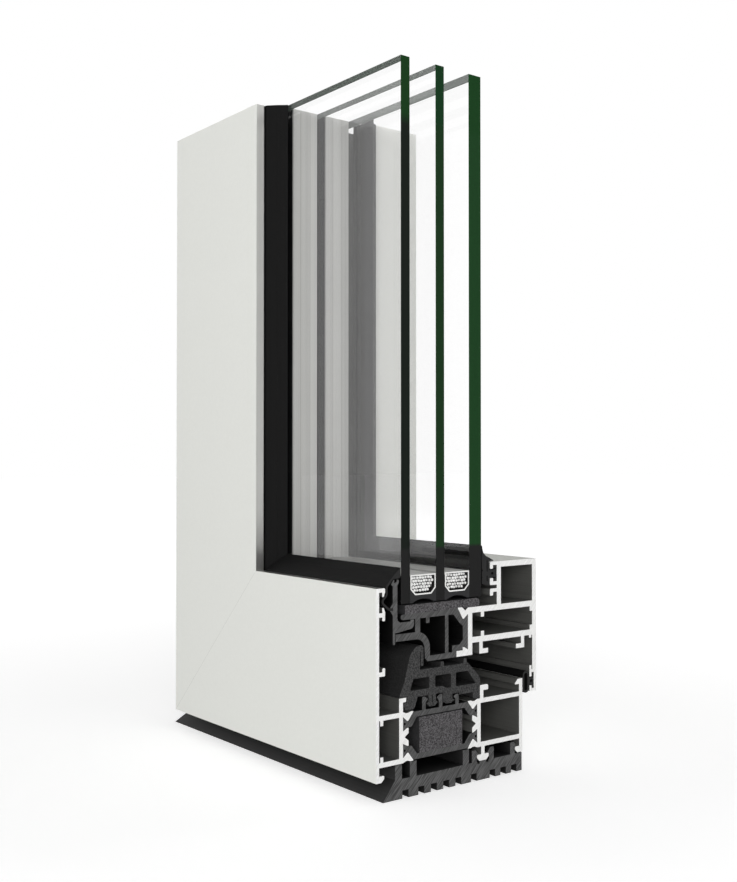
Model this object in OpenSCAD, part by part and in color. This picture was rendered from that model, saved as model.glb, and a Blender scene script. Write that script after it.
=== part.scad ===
// Corner sample of a thermally broken aluminium window with a hidden sash and triple glazing.
// A sill and a jamb of the same profiles meet at a 45 degree mitre and stand on a base profile.
// Every profile is drawn as a section: y runs from the outside face to the room,
// h runs from the outer edge of the frame towards the glass.
// A third number at a point of an outline is the radius of that corner.

/* [Sample] */
// Length of the sill, from the outer edge of the jamb to the cut end
sill_len = 143; // [120:1:600]
// Height of the jamb above the outer edge of the sill
jamb_len = 251; // [140:1:900]

/* [Glass unit] */
// Thickness of the outer pane
pane_outer_t = 4; // [3:0.5:6]
// Thickness of the middle pane
pane_middle_t = 4; // [3:0.5:6]
// Thickness of the inner pane
pane_inner_t = 6; // [4:0.5:8]
// Gap between the outer and the middle pane
gap_outer = 12; // [10:0.5:14]
// Gap between the middle and the inner pane
gap_inner = 12; // [10:0.5:14]
// Distance from the outside face of the frame to the outer pane
glass_setback = 11; // [10.5:0.1:12]
// Height of the spacer bar
spacer_h = 7.1; // [6:0.1:9]
// Wall of the spacer bar
spacer_wall = 0.5; // [0.4:0.1:1]
// Chamfer along the spacer's lower edges
spacer_chamfer = 2.1; // [1:0.1:3]
// Height of the edge sealant below the spacer
seal_h = 2.7; // [2:0.1:5]
// Rise of the hollow underside of the sealant
seal_rise = 1.3; // [0.6:0.1:1.5]
// Butyl gap on each side of the spacer
butyl_t = 0.2; // [0.1:0.1:0.5]
// Joint between the glass and the fixed bead, filled by the inside gasket
inside_joint = 4.3; // [3.8:0.1:6]

/* [Frame] */
// Depth of the frame from its outside face to its inside face
frame_depth = 70; // [63:0.5:80]
// Height of the outside face
face_h = 66; // [65:0.5:72]
// Thickness of the outside skin
skin_t = 1.3; // [1:0.1:1.6]
// Thickness of the chamber walls of the frame
wall_t = 1.7; // [1.3:0.1:2]
// Depth of the outer shell
outer_shell_d = 11.8; // [10.8:0.1:13]
// Depth of the inner shell
inner_shell_d = 23.2; // [21:0.1:25]
// Height of the lower web above the outer edge of the frame
web_low = 5.1; // [4.5:0.1:6]
// Height of the chambers over both webs
chamber_h = 17.6; // [16.5:0.1:19]
// Rise of the gasket hooks above the upper web
hook_rise = 4.8; // [4.4:0.1:6]
// Thickness of the gasket hooks
hook_t = 1.5; // [1.2:0.1:1.8]
// Reach of the hook that holds the outer edge of the central gasket
hook_reach = 1.4; // [1:0.1:1.8]
// Height of the snap feet along the outer edge of the frame
foot_h = 2.3; // [2:0.1:2.8]
// Reach of the skin's snap foot
foot_reach = 3.5; // [2.8:0.1:4.2]
// Width of the middle snap foot
foot_w = 5.9; // [5:0.1:6.6]

/* [Insulating strips] */
// Thickness of the insulating strips
strip_t = 1.9; // [1.5:0.1:2.3]
// Step of the strips below the face of the webs
strip_step = 0.5; // [0.3:0.1:0.8]
// Play between a strip and its groove
fit = 0.15; // [0.1:0.05:0.2]
// Thickness of the legs that hold the central gasket
leg_t = 1.6; // [1.3:0.1:1.9]
// Height of the legs that hold the central gasket
leg_h = 4.6; // [4.2:0.1:4.8]
// Distance between the legs
leg_pitch = 7.8; // [7.6:0.1:8.4]
// Shift of the middle leg from the middle of the thermal break
leg_shift = 0.2; // [0:0.1:1]
// Distance of the foam core from the shells
foam_inset = 7.4; // [6.5:0.1:13]
// Gap over the foam core
foam_gap = 0.4; // [0.2:0.1:0.9]

/* [Sash] */
// Overhang of the sash over the inside face of the frame
sash_proud = 7.5; // [7:0.1:9]
// Depth of the aluminium shell of the sash
sash_d = 35.2; // [33:0.1:36.5]
// Height of the sash's underside above the outer edge of the frame
sash_rise = 39; // [36:0.1:42]
// Thickness of the sash walls
sash_wall_t = 2.1; // [1.7:0.1:2.4]
// Depth of the hardware groove in the underside of the sash
hardware_depth = 4.3; // [3.8:0.1:6]
// Clear width of the hardware groove between its legs
hardware_w = 19.8; // [16:0.1:21]
// Reach of the hooks of the hardware groove
hardware_hook = 2.7; // [2:0.1:3.5]
// Clear height of the sash chamber
sash_chamber_h = 8.8; // [7.5:0.1:11]
// Height of the fixed glazing bead above the sash
bead_h = 15.9; // [15:0.1:19]
// Reach of the lips of the bead's gasket groove
bead_lip = 3.5; // [3:0.1:4]
// Drop of the room side leaf below the underside of the sash
leaf_drop = 17; // [15.5:0.1:18]
// Thickness of the walls of the sash's plastic profile
sash_strip_t = 1.9; // [1.6:0.1:2.2]
// Thickness of the foam tape under the glass
tape_t = 3.1; // [2:0.1:5]
// Clearance between the foam tape and the glass
tape_gap = 0.5; // [0.3:0.1:0.9]

/* [Glazing clip] */
// Thickness of the clip's leg
clip_t = 2; // [1.6:0.1:2.2]
// Distance from the clip's leg to the glass
clip_gap = 1.7; // [1.5:0.1:2.2]
// Height of the clip's head above the outside face of the frame
clip_head = 2.6; // [2:0.1:3.2]

/* [Gaskets] */
// Clearance of the rubber gaskets
rubber_gap = 0.3; // [0.2:0.05:0.4]
// Wall of the outside glazing gasket
outside_gasket_t = 0.8; // [0.6:0.1:1]
// Height of the inside glazing gasket above the bead
inside_gasket_rise = 6.2; // [4:0.1:9]
// Wall of the overlap gasket's tube
tube_wall = 0.8; // [0.6:0.1:1]
// Height of the overlap gasket's tube
tube_h = 8.3; // [7.5:0.1:9]

/* [Base] */
// Height of the base from its underside to the frame
base_rise = 7; // [6:0.1:12]
// Setback of the base's front edge from the outside face
base_setback = 3; // [1:0.1:5]
// Setback of the base's mitred end from the frame's mitre
base_short = 0.8; // [0:0.1:3]
// Height of the relief grooves under the base
relief_h = 2.8; // [1:0.1:3.5]
// Width of the relief grooves under the base
relief_w = 2.8; // [1.5:0.1:3.2]
// Thickness of the base's ribs
rib_t = 3; // [2.4:0.1:3.2]
// Gap between the ribs and the frame
rib_gap = 0.2; // [0.1:0.05:0.5]

/* [Hidden] */
$fn = 32;

// Places across the depth
y_o = outer_shell_d;
y_i = frame_depth - inner_shell_d;
y_break_mid = (y_o + y_i) / 2;
y_glass_1 = glass_setback;
y_glass_2 = y_glass_1 + pane_outer_t;
y_glass_3 = y_glass_2 + gap_outer;
y_glass_4 = y_glass_3 + pane_middle_t;
y_glass_5 = y_glass_4 + gap_inner;
y_glass_6 = y_glass_5 + pane_inner_t;
y_lip = y_glass_6 + inside_joint;
y_bead = y_lip + bead_lip;
y_sash = frame_depth + sash_proud;
y_back = y_sash - sash_d;
y_clip = glass_setback - clip_gap - clip_t;
leg_2 = y_break_mid - leg_shift - leg_t / 2;
leg_1 = leg_2 - leg_pitch;
leg_3 = leg_2 + leg_pitch;

// Places up the section
h_up = web_low + chamber_h;
h_mid = web_low + chamber_h / 2;
h_hook = h_up + hook_rise;
h_strip = h_up - strip_step;
h_leg = h_strip + leg_h;
h_groove = sash_rise + hardware_depth;
h_sash_web = h_groove + sash_wall_t + sash_chamber_h;
h_sash_top = h_sash_web + sash_wall_t;
h_tape = h_sash_top + tape_t;
h_glass = h_tape + tape_gap;
h_spacer = h_glass + seal_h;
h_bead = h_sash_top + bead_h;
h_leaf = sash_rise - leaf_drop;
h_head = face_h + clip_head;

// Reach of the base's mitred toe past the frame's outer edge
base_toe = base_rise - base_short;

// Reach of cuts past the sample, and the play that keeps a cut clear of a face
far = sill_len + jamb_len;
past = 1;

// Radius of the tips of the extruded hooks, and of the rubber's small corners
tip_r = 0.4;
rubber_r = 0.5;

function radius(p) = len(p) > 2 ? p[2] : 0;
function at(p) = [p[0], p[1]];
function unit(v) = v / norm(v);
function flip(points) = [for (i = [len(points) - 1 : -1 : 0]) points[i]];
function flip_y(points, y) = flip([for (p = points) [2 * y - p[0], p[1], radius(p)]]);
function flip_h(points, h) = flip([for (p = points) [p[0], 2 * h - p[1], radius(p)]]);
function turn(p, i = 0) = i == len(p) ? 0 : cross(p[i], p[(i + 1) % len(p)]) + turn(p, i + 1);
function spin(v, a) = [v[0] * cos(a) - v[1] * sin(a), v[0] * sin(a) + v[1] * cos(a)];

// Arc that rounds corner b between its neighbours a and c, limited by the shorter wall
arc_steps = 4;
arc_share = 0.48;
function arc(a, b, c) =
  let (
    u = unit(at(a) - at(b)),
    v = unit(at(c) - at(b)),
    half = acos(u * v) / 2,
    room = arc_share * min(norm(at(a) - at(b)), norm(at(c) - at(b))),
    r = min(radius(b), room * tan(half)),
    centre = at(b) + unit(u + v) * r / sin(half),
    start = at(b) + u * r / tan(half) - centre,
    sweep = (cross(u, v) < 0 ? 1 : -1) * (180 - 2 * half)
  )
  [for (i = [0 : arc_steps]) centre + spin(start, sweep * i / arc_steps)];

function neighbour(points, i) = points[(i + len(points)) % len(points)];
function rounded(points) = [
  for (i = [0 : len(points) - 1])
    each radius(points[i]) > 0
      ? arc(neighbour(points, i - 1), points[i], neighbour(points, i + 1))
      : [at(points[i])]
];

// A closed outline, always run anticlockwise
module outline(points) {
  p = rounded(points);
  polygon(turn(p) < 0 ? flip(p) : p);
}

// A strip of rubber of one thickness that follows a path with rounded bends
function open_rounded(path) = [
  for (i = [0 : len(path) - 1])
    each radius(path[i]) > 0 ? arc(path[i - 1], path[i], path[i + 1]) : [at(path[i])]
];
function normal(p, i) =
  let (d = unit(p[min(i + 1, len(p) - 1)] - p[max(i - 1, 0)])) [-d[1], d[0]];
function side(p, t) = [for (i = [0 : len(p) - 1]) p[i] + normal(p, i) * t / 2];
module ribbon(path, t) {
  p = open_rounded(path);
  outline(concat(side(p, t), flip(side(p, -t))));
}

// A straight wall of a section
module wall(y0, y1, h0, h1, r = 0) outline([[y0, h0, r], [y1, h0, r], [y1, h1, r], [y0, h1, r]]);

// The sample stands with its footprint centred on the origin
module place() translate([(base_toe - sill_len) / 2, -y_sash / 2, base_rise]) children();

// A section run along the sill and mitred at the corner, from as far below the frame's edge as it reaches
module sill_run(below = 0, short = 0) place() difference() {
  start = short - below;
  translate([start, 0, 0]) rotate([90, 0, 90]) linear_extrude(sill_len - start) children();
  translate([0, y_sash + past, 0]) rotate([90, 0, 0]) linear_extrude(y_sash + 2 * past)
    polygon([[start - past, -below - past], [short + far, far], [start - past, far]]);
}

// The same section run up the jamb
module jamb_run() place() difference() {
  mirror([1, -1, 0]) linear_extrude(jamb_len) children();
  translate([0, y_sash + past, 0]) rotate([90, 0, 0]) linear_extrude(y_sash + 2 * past)
    polygon([[0, -past], [0, 0], [far, far], [far, -past]]);
}

// All that lies beyond a boundary of the section, on both sides of the corner
module beyond(extra) place() intersection() {
  rotate([90, 0, 90]) linear_extrude(sill_len + extra) children();
  mirror([1, -1, 0]) linear_extrude(jamb_len + extra) children();
}

// A bar bent round the corner, from its outer boundary to its inner one
module corner_bar(extra = 0) difference() {
  beyond(extra) children(0);
  beyond(extra + past) children(1);
}

// Groove for an insulating strip: a hammer that grips the strip and a notched lip behind it
hammer_reach = 4.6;
hammer_drop = 3.3;
hammer_foot = 1.9;
hammer_tip = 0.5;
hammer_neck = 1.3;
hammer_dip = 0.55;
hammer_step = 0.2;
lip_reach = 2.5;
lip_tip = 0.6;
lip_notch = 0.75;
lip_low = 1.3;
lip_high = 3.1;
lip_root = 2.1;

hammer_points = [
  [y_o - wall_t / 2, h_up],
  [y_o, h_up],
  [y_o + hammer_neck, h_up - hammer_dip],
  [y_o + hammer_reach / 2, h_up - hammer_dip],
  [y_o + hammer_reach - hammer_neck, h_up - hammer_step],
  [y_o + hammer_reach, h_up - hammer_step],
  [y_o + hammer_reach, h_strip],
  [y_o + hammer_foot + hammer_tip, h_up - hammer_drop],
  [y_o + hammer_foot, h_up - hammer_drop],
  [y_o, h_up - wall_t],
  [y_o - wall_t / 2, h_up - wall_t]
];

lip_half = [
  [y_o - wall_t / 2, h_mid + lip_root],
  [y_o, h_mid + lip_root],
  [y_o + lip_reach - lip_tip, h_mid + lip_high],
  [y_o + lip_reach, h_mid + lip_high],
  [y_o + lip_reach, h_mid + lip_low]
];
lip_points = concat(lip_half, [[y_o + lip_notch, h_mid]], flip_h(lip_half, h_mid));

// Both grooves of the outer shell
module outer_grooves() {
  outline(hammer_points);
  outline(flip_h(hammer_points, h_mid));
  outline(lip_points);
}

// Both grooves of the inner shell, facing those of the outer shell
module inner_grooves() {
  outline(flip_y(hammer_points, y_break_mid));
  outline(flip_y(flip_h(hammer_points, h_mid), y_break_mid));
  outline(flip_y(lip_points, y_break_mid));
}

// Outer half of a strip, from the middle of the thermal break to its foot in the groove
strip_heel = 1.3;
strip_knee = 1.7;
strip_r = 1;
strip_half = [
  [y_o + hammer_reach + fit, h_strip],
  [y_o + hammer_foot + hammer_tip + fit, h_up - hammer_drop - fit],
  [y_o + hammer_foot - fit / 2, h_up - hammer_drop - fit],
  [y_o + fit, h_up - wall_t - 2 * fit],
  [y_o + fit, h_mid + lip_root + 2 * fit],
  [y_o + lip_reach - lip_tip, h_mid + lip_high + fit],
  [y_o + lip_reach + strip_heel, h_mid + lip_high + fit, strip_r],
  [y_o + hammer_reach + strip_knee, h_strip - strip_t]
];
strip_points = concat(strip_half, flip_y(strip_half, y_break_mid));

// Leg of the upper strip with a barb that reaches to one side
barb = 1.1;
barb_r = 0.3;
barb_h = 2.1;
short_barb_h = 1.4;
h_short_leg = h_leg - 1;
module gasket_leg(y, top, side, barb_h) translate([y + leg_t / 2, 0]) outline([
  [-side * leg_t / 2, h_strip - strip_t / 2],
  [side * leg_t / 2, h_strip - strip_t / 2],
  [side * leg_t / 2, top - barb_h],
  [side * (leg_t / 2 + barb), top - barb_h / 2, barb_r],
  [side * leg_t / 4, top, barb_r],
  [-side * leg_t / 2, top, leg_t / 2]
]);

module upper_strip_section() difference() {
  union() {
    outline(strip_points);
    gasket_leg(leg_1, h_leg, 1, barb_h);
    gasket_leg(leg_2, h_leg, -1, barb_h);
    gasket_leg(leg_3, h_short_leg, -1, short_barb_h);
  }
  wire_holes(h_wire);
}

module lower_strip_section() difference() {
  outline(flip_h(strip_points, h_mid));
  wire_holes(2 * h_mid - h_wire);
}

// Holes for the sealing wire in both feet of a strip
wire_r = 0.45;
wire_inset = 0.75;
h_wire = (h_up - wall_t + h_mid + lip_root) / 2;
module wire_holes(h) for (y = [y_o + wire_inset, y_i - wire_inset]) translate([y, h]) circle(wire_r);

module foam_core_section() {
  bottom = web_low + strip_step + strip_t;
  wall(y_o + foam_inset, y_i - foam_inset, bottom, h_strip - strip_t - foam_gap);
}

// Outer shell of the frame: skin, snap foot, chamber and gasket hook
foot_chamfer = 1.2;
nib_w = 1.3;
nib_h = 1.8;
nib_gap = 0.5;
module frame_outer_section() {
  wall(0, skin_t, 0, face_h);
  outline([
    [0, 0],
    [foot_reach - foot_chamfer, 0, tip_r],
    [foot_reach, foot_chamfer, tip_r],
    [foot_reach, foot_h, tip_r],
    [0, foot_h]
  ]);
  difference() {
    wall(0, y_o, web_low, h_up);
    wall(skin_t, y_o - wall_t, web_low + wall_t, h_up - wall_t);
  }
  outline([
    [y_o - wall_t, h_up - wall_t],
    [y_o, h_up - wall_t],
    [y_o, h_hook - hook_t],
    [y_o + hook_reach, h_hook - hook_t, tip_r],
    [y_o + hook_reach, h_hook],
    [y_o - wall_t, h_hook]
  ]);
  for (h = [web_low + wall_t / 2, h_up - wall_t - nib_h])
    wall(skin_t + nib_gap, skin_t + nib_gap + nib_w, h, h + nib_h + wall_t / 2);
  outer_grooves();
  clip_hooks();
}

// Hooked nib, hammer bar and turned lip along the back of the skin
skin_hook = 3.9;
hook_bar = 1.2;
nib_drop = 30;
nib_rise = 1.3;
bar_drop = 11.2;
bar_h = 4.5;
bar_taper = 1.4;
bar_web = 1.3;
turned_t = 1.4;
turned_drop = 2.9;
module clip_hooks() {
  nib_low = face_h - nib_drop;
  nib_top = nib_low + hook_t + nib_rise;
  bar_low = face_h - bar_drop;
  outline([
    [0, nib_low],
    [skin_hook, nib_low, tip_r],
    [skin_hook, nib_top, tip_r],
    [skin_hook - hook_bar, nib_top, tip_r],
    [skin_hook - hook_bar, nib_low + hook_t],
    [0, nib_low + hook_t]
  ]);
  wall(0, skin_hook, bar_low + bar_web, bar_low + bar_web + hook_t);
  outline([
    [skin_hook - hook_bar, bar_low, tip_r],
    [skin_hook, bar_low, tip_r],
    [skin_hook, bar_low + bar_h - bar_taper],
    [skin_hook - hook_bar / 2, bar_low + bar_h],
    [skin_hook - hook_bar, bar_low + bar_h]
  ]);
  outline([
    [0, face_h],
    [skin_hook, face_h, tip_r],
    [skin_hook, face_h - turned_t],
    [skin_hook - hook_bar / 2, face_h - turned_drop],
    [skin_hook - hook_bar, face_h - turned_drop],
    [skin_hook - hook_bar, face_h - turned_t],
    [0, face_h - turned_t]
  ]);
}

// Inner shell of the frame: chamber, two gasket hooks and two snap feet
inner_hook_t = 2;
inner_hook_reach = 4.1;
inner_hook_r = 0.8;
inner_leg_inset = 1.4;
room_hook_reach = 3.9;
room_hook_slope = 1.5;
room_hook_nose = 0.5;
foot_inset = 2.8;
y_leg = y_i + inner_leg_inset;
y_foot = y_i + foot_inset;
module frame_inner_section() {
  inner_grooves();
  difference() {
    wall(y_i, frame_depth, web_low, h_up);
    wall(y_i + wall_t, frame_depth - wall_t, web_low + wall_t, h_up - wall_t);
  }
  wall(frame_depth - wall_t, frame_depth, 0, h_hook);
  outline([
    [y_leg, h_up - wall_t],
    [y_leg + wall_t, h_up - wall_t],
    [y_leg + wall_t, h_hook - inner_hook_t],
    [y_leg + inner_hook_reach, h_hook - inner_hook_t, tip_r],
    [y_leg + inner_hook_reach, h_hook, inner_hook_r],
    [y_leg, h_hook, tip_r]
  ]);
  outline([
    [frame_depth, h_hook - inner_hook_t],
    [frame_depth - room_hook_reach, h_hook - inner_hook_t, tip_r],
    [frame_depth - room_hook_reach, h_hook - inner_hook_t + room_hook_nose, tip_r],
    [frame_depth - room_hook_reach + room_hook_slope, h_hook, tip_r],
    [frame_depth, h_hook]
  ]);
  wall(y_foot - wall_t / 2, y_foot + wall_t / 2, foot_h / 2, web_low + wall_t / 2);
  outline([
    [y_foot - foot_w / 2 + foot_chamfer, 0, tip_r],
    [y_foot + foot_w / 2 - foot_chamfer, 0, tip_r],
    [y_foot + foot_w / 2, foot_chamfer, tip_r],
    [y_foot + foot_w / 2, foot_h, tip_r],
    [y_foot - foot_w / 2, foot_h, tip_r],
    [y_foot - foot_w / 2, foot_chamfer, tip_r]
  ]);
  outline([
    [frame_depth, 0],
    [frame_depth - room_hook_reach + foot_chamfer, 0, tip_r],
    [frame_depth - room_hook_reach, foot_chamfer, tip_r],
    [frame_depth - room_hook_reach, foot_h, tip_r],
    [frame_depth, foot_h]
  ]);
}

// Central gasket: a hollow body with a fin against the sash and feet between the legs of the strip
body_clear = 2.6;
body_floor = 1.7;
body_roof = 2.9;
body_web = 2.7;
fin_foot = 0.6;
fin_foot_h = 5.2;
fin_foot_r = 9;
fin_lean = 3.2;
fin_lean_h = 2.9;
fin_crown = 6;
fin_r = 4;
fin_reach = 9.3;
fin_rise = 5.9;
fin_tip_r = 1.3;
flap_drop = 1.4;
flap_t = 1.2;
slit_w = 0.4;
slit_rise = 3.6;
shoulder = 4.6;
shoulder_r = 7;
shoulder_h = 2.7;
h_plate = h_hook + rubber_gap;
h_body = sash_rise - body_clear;
h_seat = h_up + rubber_gap;
h_recess = h_leg + rubber_gap;
y_neck = y_o + hook_reach + rubber_gap;
y_room = y_leg - rubber_gap;

module central_gasket_section() {
  difference() {
    union() {
      gasket_body();
      gasket_feet();
    }
    gasket_chambers();
  }
  for (y = [leg_2 + leg_t, y_i - ridge_inset]) gasket_ridge(y);
}

module gasket_body() outline([
  [y_o - wall_t, h_plate],
  [y_o + fin_foot, h_plate + fin_foot_h, fin_foot_r],
  [y_o + fin_lean, sash_rise + fin_lean_h, fin_r],
  [y_o + fin_crown, sash_rise + fin_rise, fin_r],
  [y_o + fin_reach, sash_rise + fin_rise, fin_tip_r],
  [y_o + fin_reach, sash_rise - flap_drop, rubber_r],
  [y_o + fin_reach - flap_t, sash_rise - flap_drop],
  [y_o + fin_reach - flap_t, sash_rise + slit_rise],
  [y_o + fin_reach - flap_t - slit_w, sash_rise + slit_rise],
  [y_o + fin_reach - flap_t - slit_w, h_body],
  [y_i - shoulder, h_body, rubber_r],
  [y_leg, h_plate + shoulder_h, shoulder_r],
  [y_leg, h_plate],
  [y_room, h_plate],
  [y_room, h_recess],
  [y_neck, h_recess],
  [y_neck, h_plate]
]);

// Four feet: one under the outer hook, two snaps between the legs, one beside the inner shell
foot_heel = 0.6;
foot_gap = 2.1;
foot_lean = 1.5;
foot_r = 1.6;
room_foot = 2;
room_foot_rise = 2.4;
module gasket_feet() {
  mid = (leg_1 + leg_2 + leg_t) / 2;
  outline([
    [y_neck, h_plate + rubber_gap],
    [y_neck, h_hook - hook_t - rubber_gap],
    [y_o + foot_heel, h_hook - hook_t - rubber_gap],
    [y_o + foot_heel, h_seat, foot_r],
    [leg_1 - foot_gap - foot_lean, h_seat, foot_r],
    [leg_1 - foot_gap, h_recess],
    [leg_1 - foot_gap, h_plate + rubber_gap]
  ]);
  difference() {
    snap_foot(leg_1 + leg_t + barb + rubber_gap, leg_2 - barb - rubber_gap, barb, barb, h_leg - barb_h);
    wall(mid - slit_w / 2, mid + slit_w / 2, h_leg - barb_h - flare_t, h_recess);
  }
  snap_foot(leg_2 + leg_t + rubber_gap, leg_3 - barb - rubber_gap, 0, barb, h_short_leg - short_barb_h);
  wall(leg_3 - barb - 2 * rubber_gap, y_room, h_short_leg + rubber_gap, h_plate);
  outline([
    [leg_3 + leg_t + rubber_gap, h_plate],
    [leg_3 + leg_t + rubber_gap, h_seat + room_foot_rise],
    [y_i - room_foot - rubber_gap, h_seat + room_foot_rise],
    [y_i - room_foot, h_seat, foot_r / 2],
    [y_room, h_seat, rubber_r],
    [y_room, h_plate]
  ]);
}

// Foot that snaps under the barbs of the legs on either side
flare_t = 0.5;
foot_taper = 1.6;
module snap_foot(left, right, flare_left, flare_right, neck) outline([
  [left, h_plate],
  [left, neck],
  [left - flare_left, neck - flare_t],
  [left - flare_left + foot_taper, h_seat],
  [right + flare_right - foot_taper, h_seat],
  [right + flare_right, neck - flare_t],
  [right, neck],
  [right, h_plate]
]);

// Three chambers along the body
chamber_start = 3.1;
chamber_lean = 1.5;
chamber_step = 1;
chamber_end = 0.7;
web_shift = 0.9;
web_2 = 2.3;
module gasket_chambers() {
  low = h_plate + body_floor;
  deep = low - chamber_step;
  top = h_body - body_roof;
  web_1 = (leg_1 + leg_2 + leg_t) / 2;
  right = leg_3 - web_shift - web_2 / 2;
  left = leg_3 - web_shift + web_2 / 2;
  outline([
    [y_o + chamber_start, low, rubber_r],
    [web_1 - body_web / 2, low, rubber_r],
    [web_1 - body_web / 2, top, rubber_r],
    [y_o + chamber_start + chamber_lean, top, rubber_r]
  ]);
  outline([
    [web_1 + body_web / 2, low, rubber_r],
    [leg_2 + leg_t, low],
    [leg_3 - leg_pitch / 2, deep],
    [right, deep, rubber_r],
    [right, top, rubber_r],
    [web_1 + body_web / 2, top, rubber_r]
  ]);
  outline([
    [left, deep, rubber_r],
    [y_i - chamber_end, deep],
    [y_i - shoulder, top, rubber_r],
    [left, top, rubber_r]
  ]);
}

// Ridge on top of the body
ridge_inset = 5.9;
ridge_w = 0.7;
ridge_h = 1.8;
ridge_taper = 0.3;
module gasket_ridge(y) outline([
  [y - ridge_w - ridge_taper, h_body - ridge_h],
  [y + ridge_w + ridge_taper, h_body - ridge_h],
  [y + ridge_w, h_body + ridge_h, rubber_r],
  [y - ridge_w, h_body + ridge_h, rubber_r]
]);

// Plastic profile of the sash: hooked front, curved step and a clasp round the sash shell
plate_gap = 1.5;
arm_gap = 1.2;
curve_inset = 10.7;
curve_rise = 4.6;
curve_r = 6.1;
curve_t = 2.5;
curve_flare = 0.2;
curve_foot = 1.2;
post_inset = 0.7;
post_t = 2.3;
stud_inset = 4.3;
stud_t = 1.6;
stud_h = 2;
partition_inset = 11.1;
partition_t = 1.6;
curve_y = y_clip + curve_inset;
curve_h = sash_rise + curve_rise;
h_arm = curve_h + curve_r;
y_post = curve_y - post_inset;
y_curve_in = curve_y + curve_r - curve_t;
module sash_strip_section() {
  t = sash_strip_t;
  low = h_sash_top - t;
  outline([
    [y_clip + clip_t + plate_gap, low, t / 2],
    [y_back - claw_reach - fit, low],
    [y_back - claw_reach - fit, h_sash_top],
    [y_clip + clip_t + plate_gap, h_sash_top, t / 2]
  ]);
  wall(y_clip + arm_gap, y_post + post_t, h_arm - curve_t, h_arm);
  wall(y_post, y_post + post_t, h_arm - curve_t, low + t / 2);
  intersection() {
    difference() {
      translate([curve_y, curve_h]) circle(curve_r);
      translate([curve_y, curve_h]) circle(curve_r - curve_t);
    }
    translate([curve_y, curve_h]) square(curve_r + past);
  }
  outline([
    [y_curve_in, curve_h],
    [y_curve_in + curve_flare, sash_rise + curve_foot],
    [y_curve_in + curve_flare + curve_foot, sash_rise],
    [y_curve_in + curve_t, sash_rise],
    [y_curve_in + curve_t, curve_h]
  ]);
  wall(y_curve_in + curve_flare + curve_foot, y_back - sash_foot - fit, sash_rise, sash_rise + t);
  wall(curve_y + stud_inset, curve_y + stud_inset + stud_t, low - stud_h, low + t / 2);
  wall(y_back - partition_inset, y_back - partition_inset + partition_t, sash_rise, low + t / 2);
  clasp();
}

// Clasp of the plastic profile, with play all round the claw and the foot of the sash shell
clasp_w = 7.7;
clasp_head = 1.2;
clasp_t = 2.5;
clasp_slope = 1.7;
module clasp() {
  w = sash_wall_t;
  outline([
    [y_back - clasp_w, h_sash_top],
    [y_back - claw_reach - fit, h_sash_top],
    [y_back - claw_in - fit, h_sash_top - claw_drop - fit],
    [y_back - claw_in + claw_tip - fit, h_sash_top - claw_drop - fit],
    [y_back - fit, h_sash_web - claw_root - 2 * fit],
    [y_back - fit, sash_rise + w + fit],
    [y_back - barb_in, sash_rise + w + barb_rise + fit],
    [y_back - barb_out - fit, sash_rise + w + barb_rise + fit],
    [y_back - barb_out - fit, sash_rise + w + fit],
    [y_back - sash_foot - fit, sash_rise + w + fit],
    [y_back - sash_foot - fit, sash_rise],
    [y_back - clasp_w, sash_rise],
    [y_back - clasp_w, h_groove],
    [y_back - clasp_t - clasp_slope, h_groove],
    [y_back - clasp_t, h_groove + clasp_slope],
    [y_back - clasp_t, h_sash_top - claw_drop - clasp_t],
    [y_back - clasp_t - clasp_slope, h_sash_top - claw_drop - clasp_head],
    [y_back - clasp_w + clasp_head / 2, h_sash_top - sash_strip_t]
  ]);
}

// Aluminium shell of the sash with its fixed glazing bead
sash_foot = 5.6;
barb_in = 1.9;
barb_out = 2.6;
barb_rise = 1.1;
claw_reach = 4.9;
claw_in = 2.5;
claw_tip = 0.4;
claw_drop = 3.9;
claw_root = 0.2;
claw_crown = 0.3;
claw_valley = 1;
claw_valley_y = 1.3;
module sash_shell_section() {
  w = sash_wall_t;
  difference() {
    union() {
      wall(y_back, y_sash, h_groove, h_sash_top);
      wall(y_bead, y_sash, h_sash_web, h_bead);
    }
    wall(y_back + w, y_sash - w, h_groove + w, h_sash_web);
    wall(y_bead + w, y_sash - w, h_sash_top, h_bead - w);
  }
  wall(y_back, y_back + w, sash_rise, h_sash_top);
  wall(y_back - sash_foot, y_back + w, sash_rise, sash_rise + w);
  outline([
    [y_back - barb_out, sash_rise + w / 2],
    [y_back - barb_out, sash_rise + w + barb_rise],
    [y_back - barb_in, sash_rise + w + barb_rise],
    [y_back, sash_rise + w],
    [y_back, sash_rise + w / 2]
  ]);
  outline([
    [y_back + w / 2, h_sash_top],
    [y_back, h_sash_top],
    [y_back - claw_valley_y, h_sash_top - claw_valley],
    [y_back - claw_in - claw_tip, h_sash_top + claw_crown],
    [y_back - claw_reach, h_sash_top + claw_crown],
    [y_back - claw_reach, h_sash_top],
    [y_back - claw_in, h_sash_top - claw_drop],
    [y_back - claw_in + claw_tip, h_sash_top - claw_drop],
    [y_back, h_sash_web - claw_root],
    [y_back + w / 2, h_sash_web - claw_root]
  ]);
  hardware_groove();
  chamber_nibs();
  bead_lips();
  room_leaf();
}

// Two hooked legs that carry the window's fittings
leg_wall = 1.7;
hardware_inset = 7.3;
module hardware_groove() {
  near = y_back + hardware_inset;
  far_side = near + hardware_w;
  wall(near - leg_wall, near, sash_rise, h_groove + sash_wall_t / 2);
  wall(near - leg_wall, near + hardware_hook, sash_rise, sash_rise + leg_wall);
  wall(far_side, far_side + leg_wall, sash_rise, h_groove + sash_wall_t / 2);
  wall(far_side - hardware_hook, far_side + leg_wall, sash_rise, sash_rise + leg_wall);
}

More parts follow.
